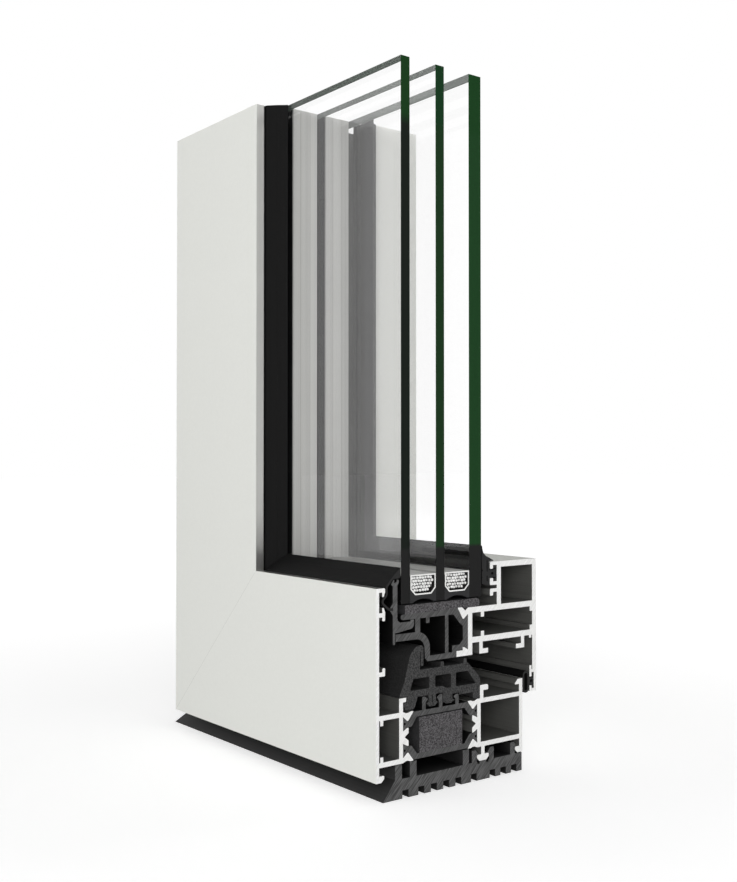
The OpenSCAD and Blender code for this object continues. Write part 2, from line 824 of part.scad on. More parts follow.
// Nibs that centre the corner cleat in the chamber, and a stop under it
cleat_nib_w = 1.6;
cleat_nib_inset = 6.4;
cleat_nib_proud = 1.3;
stop_w = 1.2;
stop_h = 1;
module chamber_nibs() {
  low = h_groove + sash_wall_t;
  for (y = [y_back + cleat_nib_inset, y_sash - sash_wall_t - cleat_nib_proud]) {
    wall(y, y + cleat_nib_w, low - sash_wall_t / 2, low + nib_h);
    wall(y, y + cleat_nib_w, h_sash_web - nib_h, h_sash_web + sash_wall_t / 2);
  }
  y_stop = y_sash - sash_wall_t - nib_gap - stop_w;
  wall(y_stop, y_stop + stop_w, h_groove - stop_h, h_groove + sash_wall_t / 2);
}

// Lips of the gasket groove on the glass side of the bead, and a third lip below them
bead_lip_t = 1.3;
bead_hook = 1.3;
bead_hook_w = 1.6;
third_lip_drop = 2.6;
groove_clear = 3.4;
h_lip = h_bead - bead_lip_t - bead_hook - groove_clear;
module bead_lips() {
  root = y_bead + sash_wall_t / 2;
  low = h_lip - bead_hook - bead_lip_t;
  third = low - third_lip_drop + bead_lip_t;
  hooked_lip(root, h_bead, -1);
  hooked_lip(root, low, 1);
  hooked_lip(root, third, -1);
}

// A lip from the bead towards the glass, with its hook turned up or down
module hooked_lip(root, face, way) outline([
  [root, face],
  [y_lip, face, tip_r],
  [y_lip, face + way * (bead_lip_t + bead_hook), tip_r],
  [y_lip + bead_hook_w, face + way * (bead_lip_t + bead_hook), tip_r],
  [y_lip + bead_hook_w, face + way * bead_lip_t],
  [root, face + way * bead_lip_t]
]);

// Room side leaf with a groove for the overlap gasket at its foot
leaf_t = 1.3;
leaf_lip = 3.6;
leaf_mouth = 3.4;
leaf_bar = 1.1;
leaf_hook = 2.2;
leaf_web_rise = 1.5;
leaf_tail = 4.2;
h_leaf_mouth = h_leaf + leaf_hook;
h_leaf_top = h_leaf_mouth + leaf_mouth;
h_leaf_web = h_leaf_top + leaf_web_rise;
y_leaf_lip = y_sash - leaf_lip;
module room_leaf() {
  wall(y_sash - sash_wall_t, y_sash, h_leaf_web, h_sash_top);
  wall(y_sash - leaf_t, y_sash, h_leaf, h_leaf_web + leaf_bar);
  wall(y_leaf_lip, y_sash - leaf_t / 2, h_leaf, h_leaf + leaf_bar);
  wall(y_leaf_lip, y_leaf_lip + leaf_bar, h_leaf, h_leaf_mouth);
  wall(y_leaf_lip, y_leaf_lip + leaf_bar, h_leaf_top, h_leaf_top + leaf_tail);
  wall(y_leaf_lip, y_sash - leaf_t / 2, h_leaf_web, h_leaf_web + leaf_bar);
}

// Glazing clip that hooks under the front of the plastic profile
clip_foot = 3.5;
clip_foot_t = 1;
clip_play = 0.5;
clip_rise = 1.1;
clip_elbow_r = 2.2;
clip_tooth = 1.6;
clip_tooth_h = 0.6;
clip_fillet_r = 1.6;
clip_fillet_h = 3.5;
module glazing_clip_section() {
  low = h_arm + clip_play;
  top = h_sash_top - sash_strip_t - fit;
  inner = y_post - clip_play;
  wall(y_clip, y_clip + clip_t, low, h_head - prong_h);
  wall(y_clip, y_clip + clip_foot_t, h_arm - clip_foot, low + clip_t, clip_foot_t / 2);
  outline([
    [y_clip + clip_t / 2, low],
    [y_clip + clip_t, low],
    [inner, low + clip_rise, clip_elbow_r],
    [inner, top],
    [inner - clip_tooth, top],
    [inner - clip_tooth, top - clip_tooth_h],
    [y_clip + clip_t, top - clip_tooth_h, clip_fillet_r],
    [y_clip + clip_t, top + clip_fillet_h],
    [y_clip + clip_t / 2, top + clip_fillet_h]
  ]);
  clip_barbs();
  clip_prongs();
}

// Pair of barbs that grip the tail of the outside gasket
tail_drop = 7.5;
tail_room = 0.5;
clip_barb = 1.1;
clip_barb_h = 2.2;
h_tail = face_h - tail_drop;
module clip_barbs() for (way = [-1, 1]) translate([y_clip, h_tail]) outline([
  [clip_t / 4, way * tail_room],
  [-clip_barb, way * tail_room],
  [-clip_barb, way * (tail_room + fit)],
  [0, way * clip_barb_h],
  [clip_t / 4, way * clip_barb_h]
]);

// Forked head that spreads the outside gasket against the glass
prong_h = 2.2;
prong_out = 0.8;
prong_in = 0.6;
prong_low = 1.6;
prong_slope = 0.3;
fork_w = 0.6;
fork_depth = 1.4;
module clip_prongs() difference() {
  outline([
    [y_clip, h_head - prong_h - prong_out],
    [y_clip + clip_t, h_head - prong_h - prong_out],
    [y_clip + clip_t, h_head - prong_h],
    [y_clip + clip_t + prong_in, h_head - prong_h / 2, tip_r],
    [y_clip + clip_t + prong_in, h_head, tip_r],
    [y_clip + prong_slope, h_head, prong_slope],
    [y_clip - prong_out, h_head - prong_low, prong_slope],
    [y_clip, h_head - prong_h]
  ]);
  outline([
    [y_clip + prong_slope, h_head - fork_depth, prong_slope],
    [y_clip + clip_t - prong_slope, h_head - fork_depth / 2],
    [y_clip + clip_t - prong_slope, h_head + past],
    [y_clip + clip_t - prong_slope - fork_w, h_head + past]
  ]);
}

// Hollow outside gasket between the frame's turned lip and the glass
head_rise = 4;
head_start = 0.3;
head_low = 0.6;
band_end = 0.5;
band_rise = 1.1;
band_bulge = 1.8;
band_bulge_drop = 4.7;
band_lift = 0.4;
band_r = 1.3;
module outside_gasket_section() {
  g = rubber_gap;
  y_band = skin_hook + g + outside_gasket_t / 2;
  ribbon([
    [y_clip - g, h_tail],
    [y_clip - clip_barb - tail_room, h_tail, band_r],
    [skin_hook - band_bulge, face_h - band_bulge_drop, band_r],
    [y_band, face_h - turned_drop + g, band_r],
    [y_band, face_h + band_lift, band_r],
    [y_clip + band_end, h_head + band_rise]
  ], outside_gasket_t);
  outline([
    [y_glass_1 - g, h_head + head_rise],
    [y_clip, h_head + band_rise],
    [y_clip + head_start, h_head + g],
    [y_clip + clip_t + head_start, h_head + g],
    [y_glass_1 - g, h_head + head_low]
  ]);
}

// Inside glazing gasket pressed between the glass and the bead
toe_drop = 1.2;
toe_rise = 0.8;
flap_reach = 1.8;
hollow_r = 4;
hollow_y = 0.7;
hollow_h = 3;
tail_w = 1.4;
tail_spread = 0.2;
core_r = 0.55;
core_inset = 1.2;
slot_w = 0.4;
slot_inset = 2.4;
slot_bridge = 0.7;
serration = 1.4;
serration_r = 0.4;
module inside_gasket_section() {
  g = rubber_gap;
  y = y_glass_6 + g;
  low = h_lip - bead_hook - bead_lip_t + toe_rise;
  mid = h_lip + groove_clear / 2;
  half = groove_clear / 2;
  difference() {
    union() {
      outline([
        [y, low],
        [y_lip - g, low - toe_drop, rubber_r],
        [y_lip - g, h_bead + g],
        [y_lip + flap_reach, h_bead + g],
        [y_lip + flap_reach - tail_spread, h_bead + 2 * g],
        [y + hollow_y, h_bead + hollow_h, hollow_r],
        [y, h_bead + inside_gasket_rise]
      ]);
      outline([
        [y_lip - 2 * g, mid - half + g],
        [y_bead - tail_w, mid - half + g],
        [y_bead - g, mid - half - tail_spread],
        [y_bead - g, mid + half + tail_spread],
        [y_bead - tail_w, mid + half - g],
        [y_lip - 2 * g, mid + half - g]
      ]);
    }
    translate([y_lip + core_inset, mid]) circle(core_r);
    wall(y + slot_inset, y + slot_inset + slot_w, low + slot_bridge, mid - slot_bridge);
    wall(y + slot_inset, y + slot_inset + slot_w, mid + slot_bridge, h_bead + slot_bridge);
    for (h = [mid - serration, mid + serration]) translate([y, h]) circle(serration_r);
  }
}

// Hollow overlap gasket between the frame and the room side leaf
tube_sink = 0.3;
head_spread = 0.4;
module overlap_gasket_section() {
  g = rubber_gap;
  y0 = frame_depth + g;
  y1 = y_leaf_lip - g;
  neck = y_leaf_lip + leaf_bar + g;
  back = y_sash - leaf_t - g;
  low = h_leaf - tube_sink;
  r = (y1 - y0) / 2;
  t = tube_wall;
  difference() {
    union() {
      wall(y0, y1, low, low + tube_h, r);
      wall(y1 - t / 2, back, h_leaf_mouth + g, h_leaf_top - g);
      outline([
        [neck, h_leaf_mouth - head_spread],
        [back, h_leaf_mouth + g],
        [back, h_leaf_top - g],
        [neck, h_leaf_top + head_spread]
      ]);
    }
    wall(y0 + t, y1 - t, low + t, low + tube_h - t, r - t);
    translate([(y1 + back) / 2, (h_leaf_mouth + h_leaf_top) / 2]) circle(core_r);
  }
}

// Foam tape on which the glass unit is bedded, hollowed over the claw of the sash shell
tape_inset = 3.4;
tape_end = 1;
tape_play = 0.2;
module glazing_tape_section() {
  y1 = y_glass_6 - tape_end;
  groove = h_sash_top + claw_crown + tape_play;
  difference() {
    outline([
      [y_clip + clip_t + tape_inset, h_sash_top],
      [y1, h_sash_top, tape_t / 2],
      [y1, h_tape, tape_t / 2],
      [y_clip + clip_t + tape_inset, h_tape]
    ]);
    wall(y_back - claw_reach - tape_play, y_back - claw_in + tape_play, h_sash_top - past, groove);
  }
}

// All that lies above the underside of a spacer bar between two panes, shrunk by an inset
chamfer_share = 0.4;
module over_spacer(y0, y1, inset) {
  side = butyl_t + inset;
  slope = butyl_t + spacer_chamfer + inset * chamfer_share;
  outline([
    [y0 + slope, h_spacer + inset],
    [y1 - slope, h_spacer + inset],
    [y1 - side, h_spacer + spacer_chamfer + inset * chamfer_share],
    [y1 - side, far],
    [y0 + side, far],
    [y0 + side, h_spacer + spacer_chamfer + inset * chamfer_share]
  ]);
}

// A spacer's outline bent round the corner, shrunk by an inset
module spacer_bar(y0, y1, inset, extra = 0) corner_bar(extra) {
  over_spacer(y0, y1, inset);
  wall(y0 - past, y1 + past, h_spacer + spacer_h - inset, far + past);
}

module spacer(y0, y1) difference() {
  spacer_bar(y0, y1, 0);
  spacer_bar(y0, y1, spacer_wall, past);
}

bead_play = 0.05;
module desiccant(y0, y1) spacer_bar(y0, y1, spacer_wall + bead_play);

// Edge sealant with a hollow underside, run up to the spacer
seal_edge = 1;
arch_steps = 96;
module edge_seal(y0, y1) corner_bar() {
  arch_over(y0, y1);
  outline([
    [y0 - past, h_spacer + spacer_chamfer],
    [y0 + butyl_t, h_spacer + spacer_chamfer],
    [y0 + butyl_t + spacer_chamfer, h_spacer],
    [y1 - butyl_t - spacer_chamfer, h_spacer],
    [y1 - butyl_t, h_spacer + spacer_chamfer],
    [y1 + past, h_spacer + spacer_chamfer],
    [y1 + past, far + past],
    [y0 - past, far + past]
  ]);
}

// All that lies above the arched underside of the sealant
module arch_over(y0, y1) {
  half = (y1 - y0) / 2 - seal_edge;
  r = (half * half + seal_rise * seal_rise) / (2 * seal_rise);
  difference() {
    wall(y0, y1, h_glass, far);
    translate([(y0 + y1) / 2, h_glass + seal_rise - r]) circle(r, $fn = arch_steps);
  }
}

// One pane of the glass unit
module pane(y0, y1) place() translate([h_glass, y0, h_glass])
  cube([sill_len - h_glass, y1 - y0, jamb_len - h_glass]);

// Base profile with ribs that snap round the feet of the frame
base_slope = 5.3;
base_inset = 0.4;
rib_out = 3.5;
rib_hammer = 3.1;
rib_break = 7.1;
foot_slot = 1.1;
foot_slot_h = 1;
y_base = frame_depth - base_inset;
foot_left = y_foot - foot_w / 2;
foot_right = y_foot + foot_w / 2;
module base_section() {
  rib_low = web_low - rib_gap;
  rib_strip = web_low + hammer_step - rib_gap;
  difference() {
    union() {
      outline([
        [base_setback, -base_rise],
        [y_base, -base_rise],
        [y_base, -rib_gap],
        [base_setback + base_slope, -rib_gap]
      ]);
      wall(y_o - rib_out, y_o - rib_out + rib_t, -past, rib_low);
      wall(y_o + rib_hammer, y_o + rib_hammer + rib_t, -past, rib_strip);
      wall(y_i - rib_break, y_i - rib_break + rib_t, -past, rib_strip);
      snap_rib(foot_left, 1);
      snap_rib(foot_right, -1);
      snap_rib(frame_depth - room_hook_reach, 1);
    }
    for (y = [foot_left + rib_gap, foot_right - rib_gap - foot_slot])
      wall(y, y + foot_slot, -foot_slot_h, past);
    relief_grooves();
  }
}

// Rib that hooks over a snap foot
snap_w = 2.5;
snap_hook = 0.7;
snap_h = 1.9;
snap_r = 0.8;
module snap_rib(y, way) translate([y, 0]) outline([
  [-way * snap_w, -past],
  [-way * rib_gap, -past],
  [-way * rib_gap, foot_h + rib_gap],
  [way * snap_hook, foot_h + rib_gap],
  [-way * snap_hook, foot_h + snap_h, snap_r],
  [-way * snap_w, foot_h + snap_h, tip_r]
]);

// Rows of relief grooves under the base, before and behind the inner edge of the break
relief_first = 0.3;
relief_start = 6.9;
relief_pitch = 5.8;
relief_mid = 3.1;
relief_room = 6.2;
relief_room_pitch = 5.5;
module relief_grooves() {
  mid = y_i - relief_mid;
  front = [y_o - relief_first, each [y_o + relief_start : relief_pitch : mid - relief_pitch]];
  back = [mid, each [y_i + relief_room : relief_room_pitch : y_base - relief_room_pitch]];
  for (y = concat(front, back)) wall(y, y + relief_w, -base_rise - past, -base_rise + relief_h);
}

module base_profile() color("dimgray") sill_run(base_rise, base_short) base_section();
module sill_frame_outer_shell() color("whitesmoke") sill_run() frame_outer_section();
module jamb_frame_outer_shell() color("whitesmoke") jamb_run() frame_outer_section();
module sill_frame_inner_shell() color("whitesmoke") sill_run() frame_inner_section();
module jamb_frame_inner_shell() color("whitesmoke") jamb_run() frame_inner_section();
module sill_upper_strip() color("dimgray") sill_run() upper_strip_section();
module jamb_upper_strip() color("dimgray") jamb_run() upper_strip_section();
module sill_lower_strip() color("dimgray") sill_run() lower_strip_section();
module jamb_lower_strip() color("dimgray") jamb_run() lower_strip_section();
module sill_foam_core() color("gray") sill_run() foam_core_section();
module jamb_foam_core() color("gray") jamb_run() foam_core_section();
module sill_central_gasket() color("dimgray") sill_run() central_gasket_section();
module jamb_central_gasket() color("dimgray") jamb_run() central_gasket_section();
module sill_sash_shell() color("whitesmoke") sill_run() sash_shell_section();
module jamb_sash_shell() color("whitesmoke") jamb_run() sash_shell_section();
module sill_sash_strip() color("dimgray") sill_run() sash_strip_section();
module jamb_sash_strip() color("dimgray") jamb_run() sash_strip_section();
module sill_glazing_clip() color("dimgray") sill_run() glazing_clip_section();
module jamb_glazing_clip() color("dimgray") jamb_run() glazing_clip_section();
module sill_outside_gasket() color("black") sill_run() outside_gasket_section();
module jamb_outside_gasket() color("black") jamb_run() outside_gasket_section();
module sill_inside_gasket() color("black") sill_run() inside_gasket_section();
module jamb_inside_gasket() color("black") jamb_run() inside_gasket_section();
module sill_overlap_gasket() color("black") sill_run() overlap_gasket_section();
module jamb_overlap_gasket() color("black") jamb_run() overlap_gasket_section();
module sill_glazing_tape() color("gray") sill_run() glazing_tape_section();
module jamb_glazing_tape() color("gray") jamb_run() glazing_tape_section();
module outer_pane() color("darkseagreen") pane(y_glass_1, y_glass_2);
module middle_pane() color("darkseagreen") pane(y_glass_3, y_glass_4);
module inner_pane() color("darkseagreen") pane(y_glass_5, y_glass_6);
module outer_spacer() color("silver") spacer(y_glass_2, y_glass_3);
module inner_spacer() color("silver") spacer(y_glass_4, y_glass_5);
module outer_desiccant() color("white") desiccant(y_glass_2, y_glass_3);
module inner_desiccant() color("white") desiccant(y_glass_4, y_glass_5);
module outer_edge_seal() color("dimgray") edge_seal(y_glass_2, y_glass_3);
module inner_edge_seal() color("dimgray") edge_seal(y_glass_4, y_glass_5);

base_profile();
sill_frame_outer_shell();
jamb_frame_outer_shell();
sill_frame_inner_shell();
jamb_frame_inner_shell();
sill_upper_strip();
jamb_upper_strip();
sill_lower_strip();
jamb_lower_strip();
sill_foam_core();
jamb_foam_core();
sill_central_gasket();
jamb_central_gasket();
sill_sash_shell();
jamb_sash_shell();
sill_sash_strip();
jamb_sash_strip();
sill_glazing_clip();
jamb_glazing_clip();
sill_outside_gasket();
jamb_outside_gasket();
sill_inside_gasket();
jamb_inside_gasket();
sill_overlap_gasket();
jamb_overlap_gasket();
sill_glazing_tape();
jamb_glazing_tape();
outer_pane();
middle_pane();
inner_pane();
outer_spacer();
inner_spacer();
outer_desiccant();
inner_desiccant();
outer_edge_seal();
inner_edge_seal();
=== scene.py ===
# Looks of a corner sample of an aluminium window frame with a triple glazed hidden sash
import math
from collections import namedtuple

import bmesh
import bpy
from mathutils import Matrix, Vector


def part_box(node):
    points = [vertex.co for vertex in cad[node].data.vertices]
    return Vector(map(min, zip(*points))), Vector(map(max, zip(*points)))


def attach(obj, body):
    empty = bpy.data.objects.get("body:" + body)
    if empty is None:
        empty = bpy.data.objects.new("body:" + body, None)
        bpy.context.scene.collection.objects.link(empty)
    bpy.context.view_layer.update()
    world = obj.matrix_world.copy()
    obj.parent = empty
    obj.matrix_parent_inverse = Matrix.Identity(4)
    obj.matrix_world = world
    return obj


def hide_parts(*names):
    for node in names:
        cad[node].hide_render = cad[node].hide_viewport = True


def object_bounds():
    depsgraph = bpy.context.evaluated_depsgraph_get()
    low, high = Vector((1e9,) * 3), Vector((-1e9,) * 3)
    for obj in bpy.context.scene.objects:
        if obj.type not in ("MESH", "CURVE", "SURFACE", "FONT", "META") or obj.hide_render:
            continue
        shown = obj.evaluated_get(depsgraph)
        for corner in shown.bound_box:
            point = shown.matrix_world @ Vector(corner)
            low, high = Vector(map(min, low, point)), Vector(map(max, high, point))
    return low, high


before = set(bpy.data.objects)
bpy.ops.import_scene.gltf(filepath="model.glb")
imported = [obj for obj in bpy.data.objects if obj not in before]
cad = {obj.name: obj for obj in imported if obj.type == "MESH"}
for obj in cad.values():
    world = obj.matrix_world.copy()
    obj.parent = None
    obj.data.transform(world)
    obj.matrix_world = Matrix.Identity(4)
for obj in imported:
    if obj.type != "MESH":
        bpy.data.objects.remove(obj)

cad_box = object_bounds()
scene = bpy.context.scene
MM = 0.001

# The sill runs along X to its cut end and the jamb up Z to its own, both from the frame's outer edge
SILL_END = cad_box[1].x
JAMB_END = cad_box[1].z
OUTER_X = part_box("jamb_frame_outer_shell")[0].x
OUTER_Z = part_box("sill_frame_outer_shell")[0].z
CUT_DEPTH = 0.02 * MM

# Sockets of a colour Mix node
SHARE, FROM, TO = 0, 6, 7


def colour(hex_code):
    """Linear colour of an sRGB hex value."""
    parts = [int(hex_code[i:i + 2], 16) / 255 for i in (1, 3, 5)]
    return tuple(c / 12.92 if c <= 0.04045 else ((c + 0.055) / 1.055) ** 2.4 for c in parts) + (1.0,)


WHITE = colour("#ffffff")


def add(tree, kind, inputs=(), **settings):
    """One node with its settings and links. An input is a value, a socket, or a node whose first output
    feeds it."""
    made = tree.nodes.new(kind)
    for name, value in settings.items():
        setattr(made, name, value)
    for socket, value in dict(inputs).items():
        if isinstance(value, bpy.types.Node):
            value = next(out for out in value.outputs if out.enabled)
        if isinstance(value, bpy.types.NodeSocket):
            tree.links.new(value, made.inputs[socket])
        else:
            made.inputs[socket].default_value = value
    return made


def new_material(name):
    """A new material and its empty node tree."""
    made = bpy.data.materials.new(name)
    made.use_nodes = True
    made.node_tree.nodes.clear()
    return made, made.node_tree


Section = namedtuple("Section", "place y h along cut")


def section_of(tree):
    """Where a point lies on a run of profile: its place, its depth y, its height h over the frame's outer
    edge, its way along the run, and 1 where the run was sawn off."""
    place = add(tree, "ShaderNodeTexCoord").outputs["Object"]
    edge = (OUTER_X, 0.0, OUTER_Z)
    from_edge = add(tree, "ShaderNodeVectorMath", {0: place, 1: edge}, operation="SUBTRACT")
    x, y, z = add(tree, "ShaderNodeSeparateXYZ", {0: from_edge}).outputs
    h = add(tree, "ShaderNodeMath", {0: x, 1: z}, operation="MINIMUM")
    along = add(tree, "ShaderNodeMath", {0: x, 1: z}, operation="MAXIMUM")
    sill_length = SILL_END - OUTER_X - CUT_DEPTH
    jamb_length = JAMB_END - OUTER_Z - CUT_DEPTH
    sill_cut = add(tree, "ShaderNodeMath", {0: x, 1: sill_length}, operation="GREATER_THAN")
    jamb_cut = add(tree, "ShaderNodeMath", {0: z, 1: jamb_length}, operation="GREATER_THAN")
    cut = add(tree, "ShaderNodeMath", {0: sill_cut, 1: jamb_cut}, operation="MAXIMUM")
    return Section(place, y, h, along, cut)


# How fast a die line changes along the run, against across it
DIE_DRIFT = 0.003


def die_lines(tree, at, pitch):
    """Lines about a pitch apart that the extrusion die draws along the run. Real ones lie closer, and these
    are as coarse as they need to be to show."""
    slow = add(tree, "ShaderNodeMath", {0: at.along, 1: DIE_DRIFT}, operation="MULTIPLY")
    drawn = add(tree, "ShaderNodeCombineXYZ", {0: at.y, 1: at.h, 2: slow})
    return add(tree, "ShaderNodeTexNoise", {"Vector": drawn, "Scale": 1 / pitch, "Detail": 2.0})


SAW_TURN = (0.0, 0.0, math.radians(45.0))
SAW_STRETCH = (14.0, 1.0, 1.0)
# Noise at which a streak is darkest and palest
SAW_LOW, SAW_HIGH = 0.35, 0.65


def saw_marks(tree, at, pitch):
    """Streaks about a pitch apart that the saw leaves on a cut, rising towards the room."""
    face = add(tree, "ShaderNodeCombineXYZ", {0: at.y, 1: at.h})
    turned = add(tree, "ShaderNodeMapping", {"Vector": face, "Rotation": SAW_TURN, "Scale": SAW_STRETCH},
                 vector_type="TEXTURE")
    streaks = add(tree, "ShaderNodeTexNoise", {"Vector": turned, "Scale": 1 / pitch, "Detail": 2.0})
    return add(tree, "ShaderNodeMapRange", {"Value": streaks, "From Min": SAW_LOW, "From Max": SAW_HIGH})


ORANGE_PEEL = 1.6 * MM
PEEL_RELIEF = 0.012 * MM
HAIRLINE = 0.08 * MM
MILL_LINES = 0.5 * MM
METAL_SAW = 0.5 * MM
# The faces that a wall would hide lie lower than this, and the chambers higher
WALL_SIDE = 5.4 * MM
# Height that no profile reaches, for those without a bare lip
NO_LIP = 10.0
DULL_METALLIC, BRIGHT_METALLIC = 0.35, 0.85
DULL_ROUGH, BRIGHT_ROUGH, COAT_ROUGH = 0.5, 0.28, 0.75


def coated_aluminium(name, coated, lip=NO_LIP):
    """Extruded aluminium: a low gloss off white powder coat with a slow orange peel on the faces that show
    and a hairline at the mitre, mill metal with die lines elsewhere, painted darker in the chambers as shade
    and less glossy there, brighter on the wall side and on a lip past that height, and bright sawn ends with
    streaks."""
    made, tree = new_material(name)
    at = section_of(tree)
    coat = 0.0
    for side, test, limit in coated:
        face = add(tree, "ShaderNodeMath", {0: getattr(at, side), 1: limit}, operation=test)
        coat = add(tree, "ShaderNodeMath", {0: coat, 1: face}, operation="MAXIMUM")
    peel = add(tree, "ShaderNodeTexNoise", {"Vector": at.place, "Scale": 1 / ORANGE_PEEL, "Detail": 2.0})
    paint = add(tree, "ShaderNodeMix", {SHARE: peel, FROM: colour("#e6e7e2"), TO: colour("#eaebe6")},
                data_type="RGBA")
    from_mitre = add(tree, "ShaderNodeMath", {0: at.along, 1: at.h}, operation="SUBTRACT")
    joint = add(tree, "ShaderNodeMath", {0: from_mitre, 1: HAIRLINE}, operation="LESS_THAN")
    paint = add(tree, "ShaderNodeMix", {SHARE: joint, FROM: paint, TO: colour("#c9cac5")}, data_type="RGBA")
    die = die_lines(tree, at, MILL_LINES)
    # Painted shade: the mill metal is darker in the chambers than on the wall side and the lip
    painted_chamber_shade = add(tree, "ShaderNodeMix", {SHARE: die, FROM: colour("#5a5a57"), TO: colour("#6c6c69")},
               data_type="RGBA")
    bright = add(tree, "ShaderNodeMix", {SHARE: die, FROM: colour("#b2b2af"), TO: colour("#ccccc9")},
                 data_type="RGBA")
    on_lip = add(tree, "ShaderNodeMath", {0: at.h, 1: lip}, operation="GREATER_THAN")
    on_wall_side = add(tree, "ShaderNodeMath", {0: at.h, 1: WALL_SIDE}, operation="LESS_THAN")
    open_metal = add(tree, "ShaderNodeMath", {0: on_lip, 1: on_wall_side}, operation="MAXIMUM")
    mill = add(tree, "ShaderNodeMix", {SHARE: open_metal, FROM: painted_chamber_shade, TO: bright}, data_type="RGBA")
    skin = add(tree, "ShaderNodeMix", {SHARE: coat, FROM: mill, TO: paint}, data_type="RGBA")
    marks = saw_marks(tree, at, METAL_SAW)
    sawn = add(tree, "ShaderNodeMix", {SHARE: marks, FROM: colour("#ececea"), TO: colour("#f9f9f8")},
               data_type="RGBA")
    body = add(tree, "ShaderNodeMix", {SHARE: at.cut, FROM: skin, TO: sawn}, data_type="RGBA")
    plain = add(tree, "ShaderNodeMath", {0: coat, 1: at.cut}, operation="MAXIMUM")
    mill_metallic = add(tree, "ShaderNodeMapRange",
                        {"Value": open_metal, "To Min": DULL_METALLIC, "To Max": BRIGHT_METALLIC})
    metallic = add(tree, "ShaderNodeMapRange", {"Value": plain, "To Min": mill_metallic, "To Max": 0.0})
    mill_rough = add(tree, "ShaderNodeMapRange",
                     {"Value": open_metal, "To Min": DULL_ROUGH, "To Max": BRIGHT_ROUGH})
    rough = add(tree, "ShaderNodeMapRange", {"Value": plain, "To Min": mill_rough, "To Max": COAT_ROUGH})
    relief = add(tree, "ShaderNodeMath", {0: peel, 1: coat}, operation="MULTIPLY")
    normal = add(tree, "ShaderNodeBump", {"Height": relief, "Distance": PEEL_RELIEF})
    shader = add(tree, "ShaderNodeBsdfPrincipled",
                 {"Base Color": body, "Metallic": metallic, "Roughness": rough, "Specular IOR Level": 0.1,
                  "Normal": normal})
    add(tree, "ShaderNodeOutputMaterial", {"Surface": shader})
    return made


PLASTIC_LINES = 0.6 * MM
STRIP_SAW, BASE_SAW = 0.45 * MM, 0.5 * MM
# Real fibres are finer, and this is as coarse as they need to be to show
FIBRE = 0.4 * MM
FIBRE_RELIEF = 0.02 * MM
# How far off a wall still shades a hollow
HOLLOW = 12.0 * MM


def extruded_plastic(name, drawn, sawn, pitch):
    """Extruded glass filled plastic: dark and matt with die lines along the run, with painted shade that
    turns it black deep in its hollows, paler and hatched where it was sawn."""
    made, tree = new_material(name)
    at = section_of(tree)
    die = die_lines(tree, at, PLASTIC_LINES)
    marks = saw_marks(tree, at, pitch)
    fibre = add(tree, "ShaderNodeTexNoise", {"Vector": at.place, "Scale": 1 / FIBRE, "Detail": 3.0})
    run = add(tree, "ShaderNodeMix", {SHARE: die, FROM: colour(drawn[0]), TO: colour(drawn[1])},
              data_type="RGBA")
    # Painted shade from ambient occlusion, black deep in the hollows
    open_air = add(tree, "ShaderNodeAmbientOcclusion", {"Distance": HOLLOW}, samples=8).outputs["AO"]
    hollow_shade = add(tree, "ShaderNodeMix", {SHARE: open_air, FROM: colour("#050505"), TO: run}, data_type="RGBA")
    end = add(tree, "ShaderNodeMix", {SHARE: marks, FROM: colour(sawn[0]), TO: colour(sawn[1])},
              data_type="RGBA")
    body = add(tree, "ShaderNodeMix", {SHARE: at.cut, FROM: hollow_shade, TO: end}, data_type="RGBA")
    relief = add(tree, "ShaderNodeMath", {0: fibre, 1: marks}, operation="ADD")
    normal = add(tree, "ShaderNodeBump", {"Height": relief, "Distance": FIBRE_RELIEF})
    shader = add(tree, "ShaderNodeBsdfPrincipled",
                 {"Base Color": body, "Roughness": 0.62, "Specular IOR Level": 0.15, "Normal": normal})
    add(tree, "ShaderNodeOutputMaterial", {"Surface": shader})
    return made


FOAM_CELL = 0.42 * MM
# Real cells of the rubber are finer, and these are as coarse as they need to be to show
RUBBER_CELL = 0.5 * MM
# Noise at which a cell is darkest and palest
CELLS_LOW, CELLS_HIGH = 0.32, 0.68
CELL_RELIEF = 0.05 * MM


def cellular(name, skin, grain, cell):
    """Foamed plastic or rubber: a dull skin, and cells of that size that read as dark and pale grains where
    it was cut."""
    made, tree = new_material(name)
    at = section_of(tree)
    froth = add(tree, "ShaderNodeTexNoise", {"Vector": at.place, "Scale": 1 / cell, "Detail": 3.0})
    cells = add(tree, "ShaderNodeMapRange", {"Value": froth, "From Min": CELLS_LOW, "From Max": CELLS_HIGH})
    opened = add(tree, "ShaderNodeMix", {SHARE: cells, FROM: colour(grain[0]), TO: colour(grain[1])},
                 data_type="RGBA")
    closed = add(tree, "ShaderNodeMix", {SHARE: cells, FROM: colour(skin[0]), TO: colour(skin[1])},
                 data_type="RGBA")
    body = add(tree, "ShaderNodeMix", {SHARE: at.cut, FROM: closed, TO: opened}, data_type="RGBA")
    normal = add(tree, "ShaderNodeBump", {"Height": cells, "Distance": CELL_RELIEF})
    shader = add(tree, "ShaderNodeBsdfPrincipled",
                 {"Base Color": body, "Roughness": 0.85, "Specular IOR Level": 0.1, "Normal": normal})
    add(tree, "ShaderNodeOutputMaterial", {"Surface": shader})
    return made


RUBBER_LINES = 0.8 * MM
RUBBER_RELIEF = 0.01 * MM


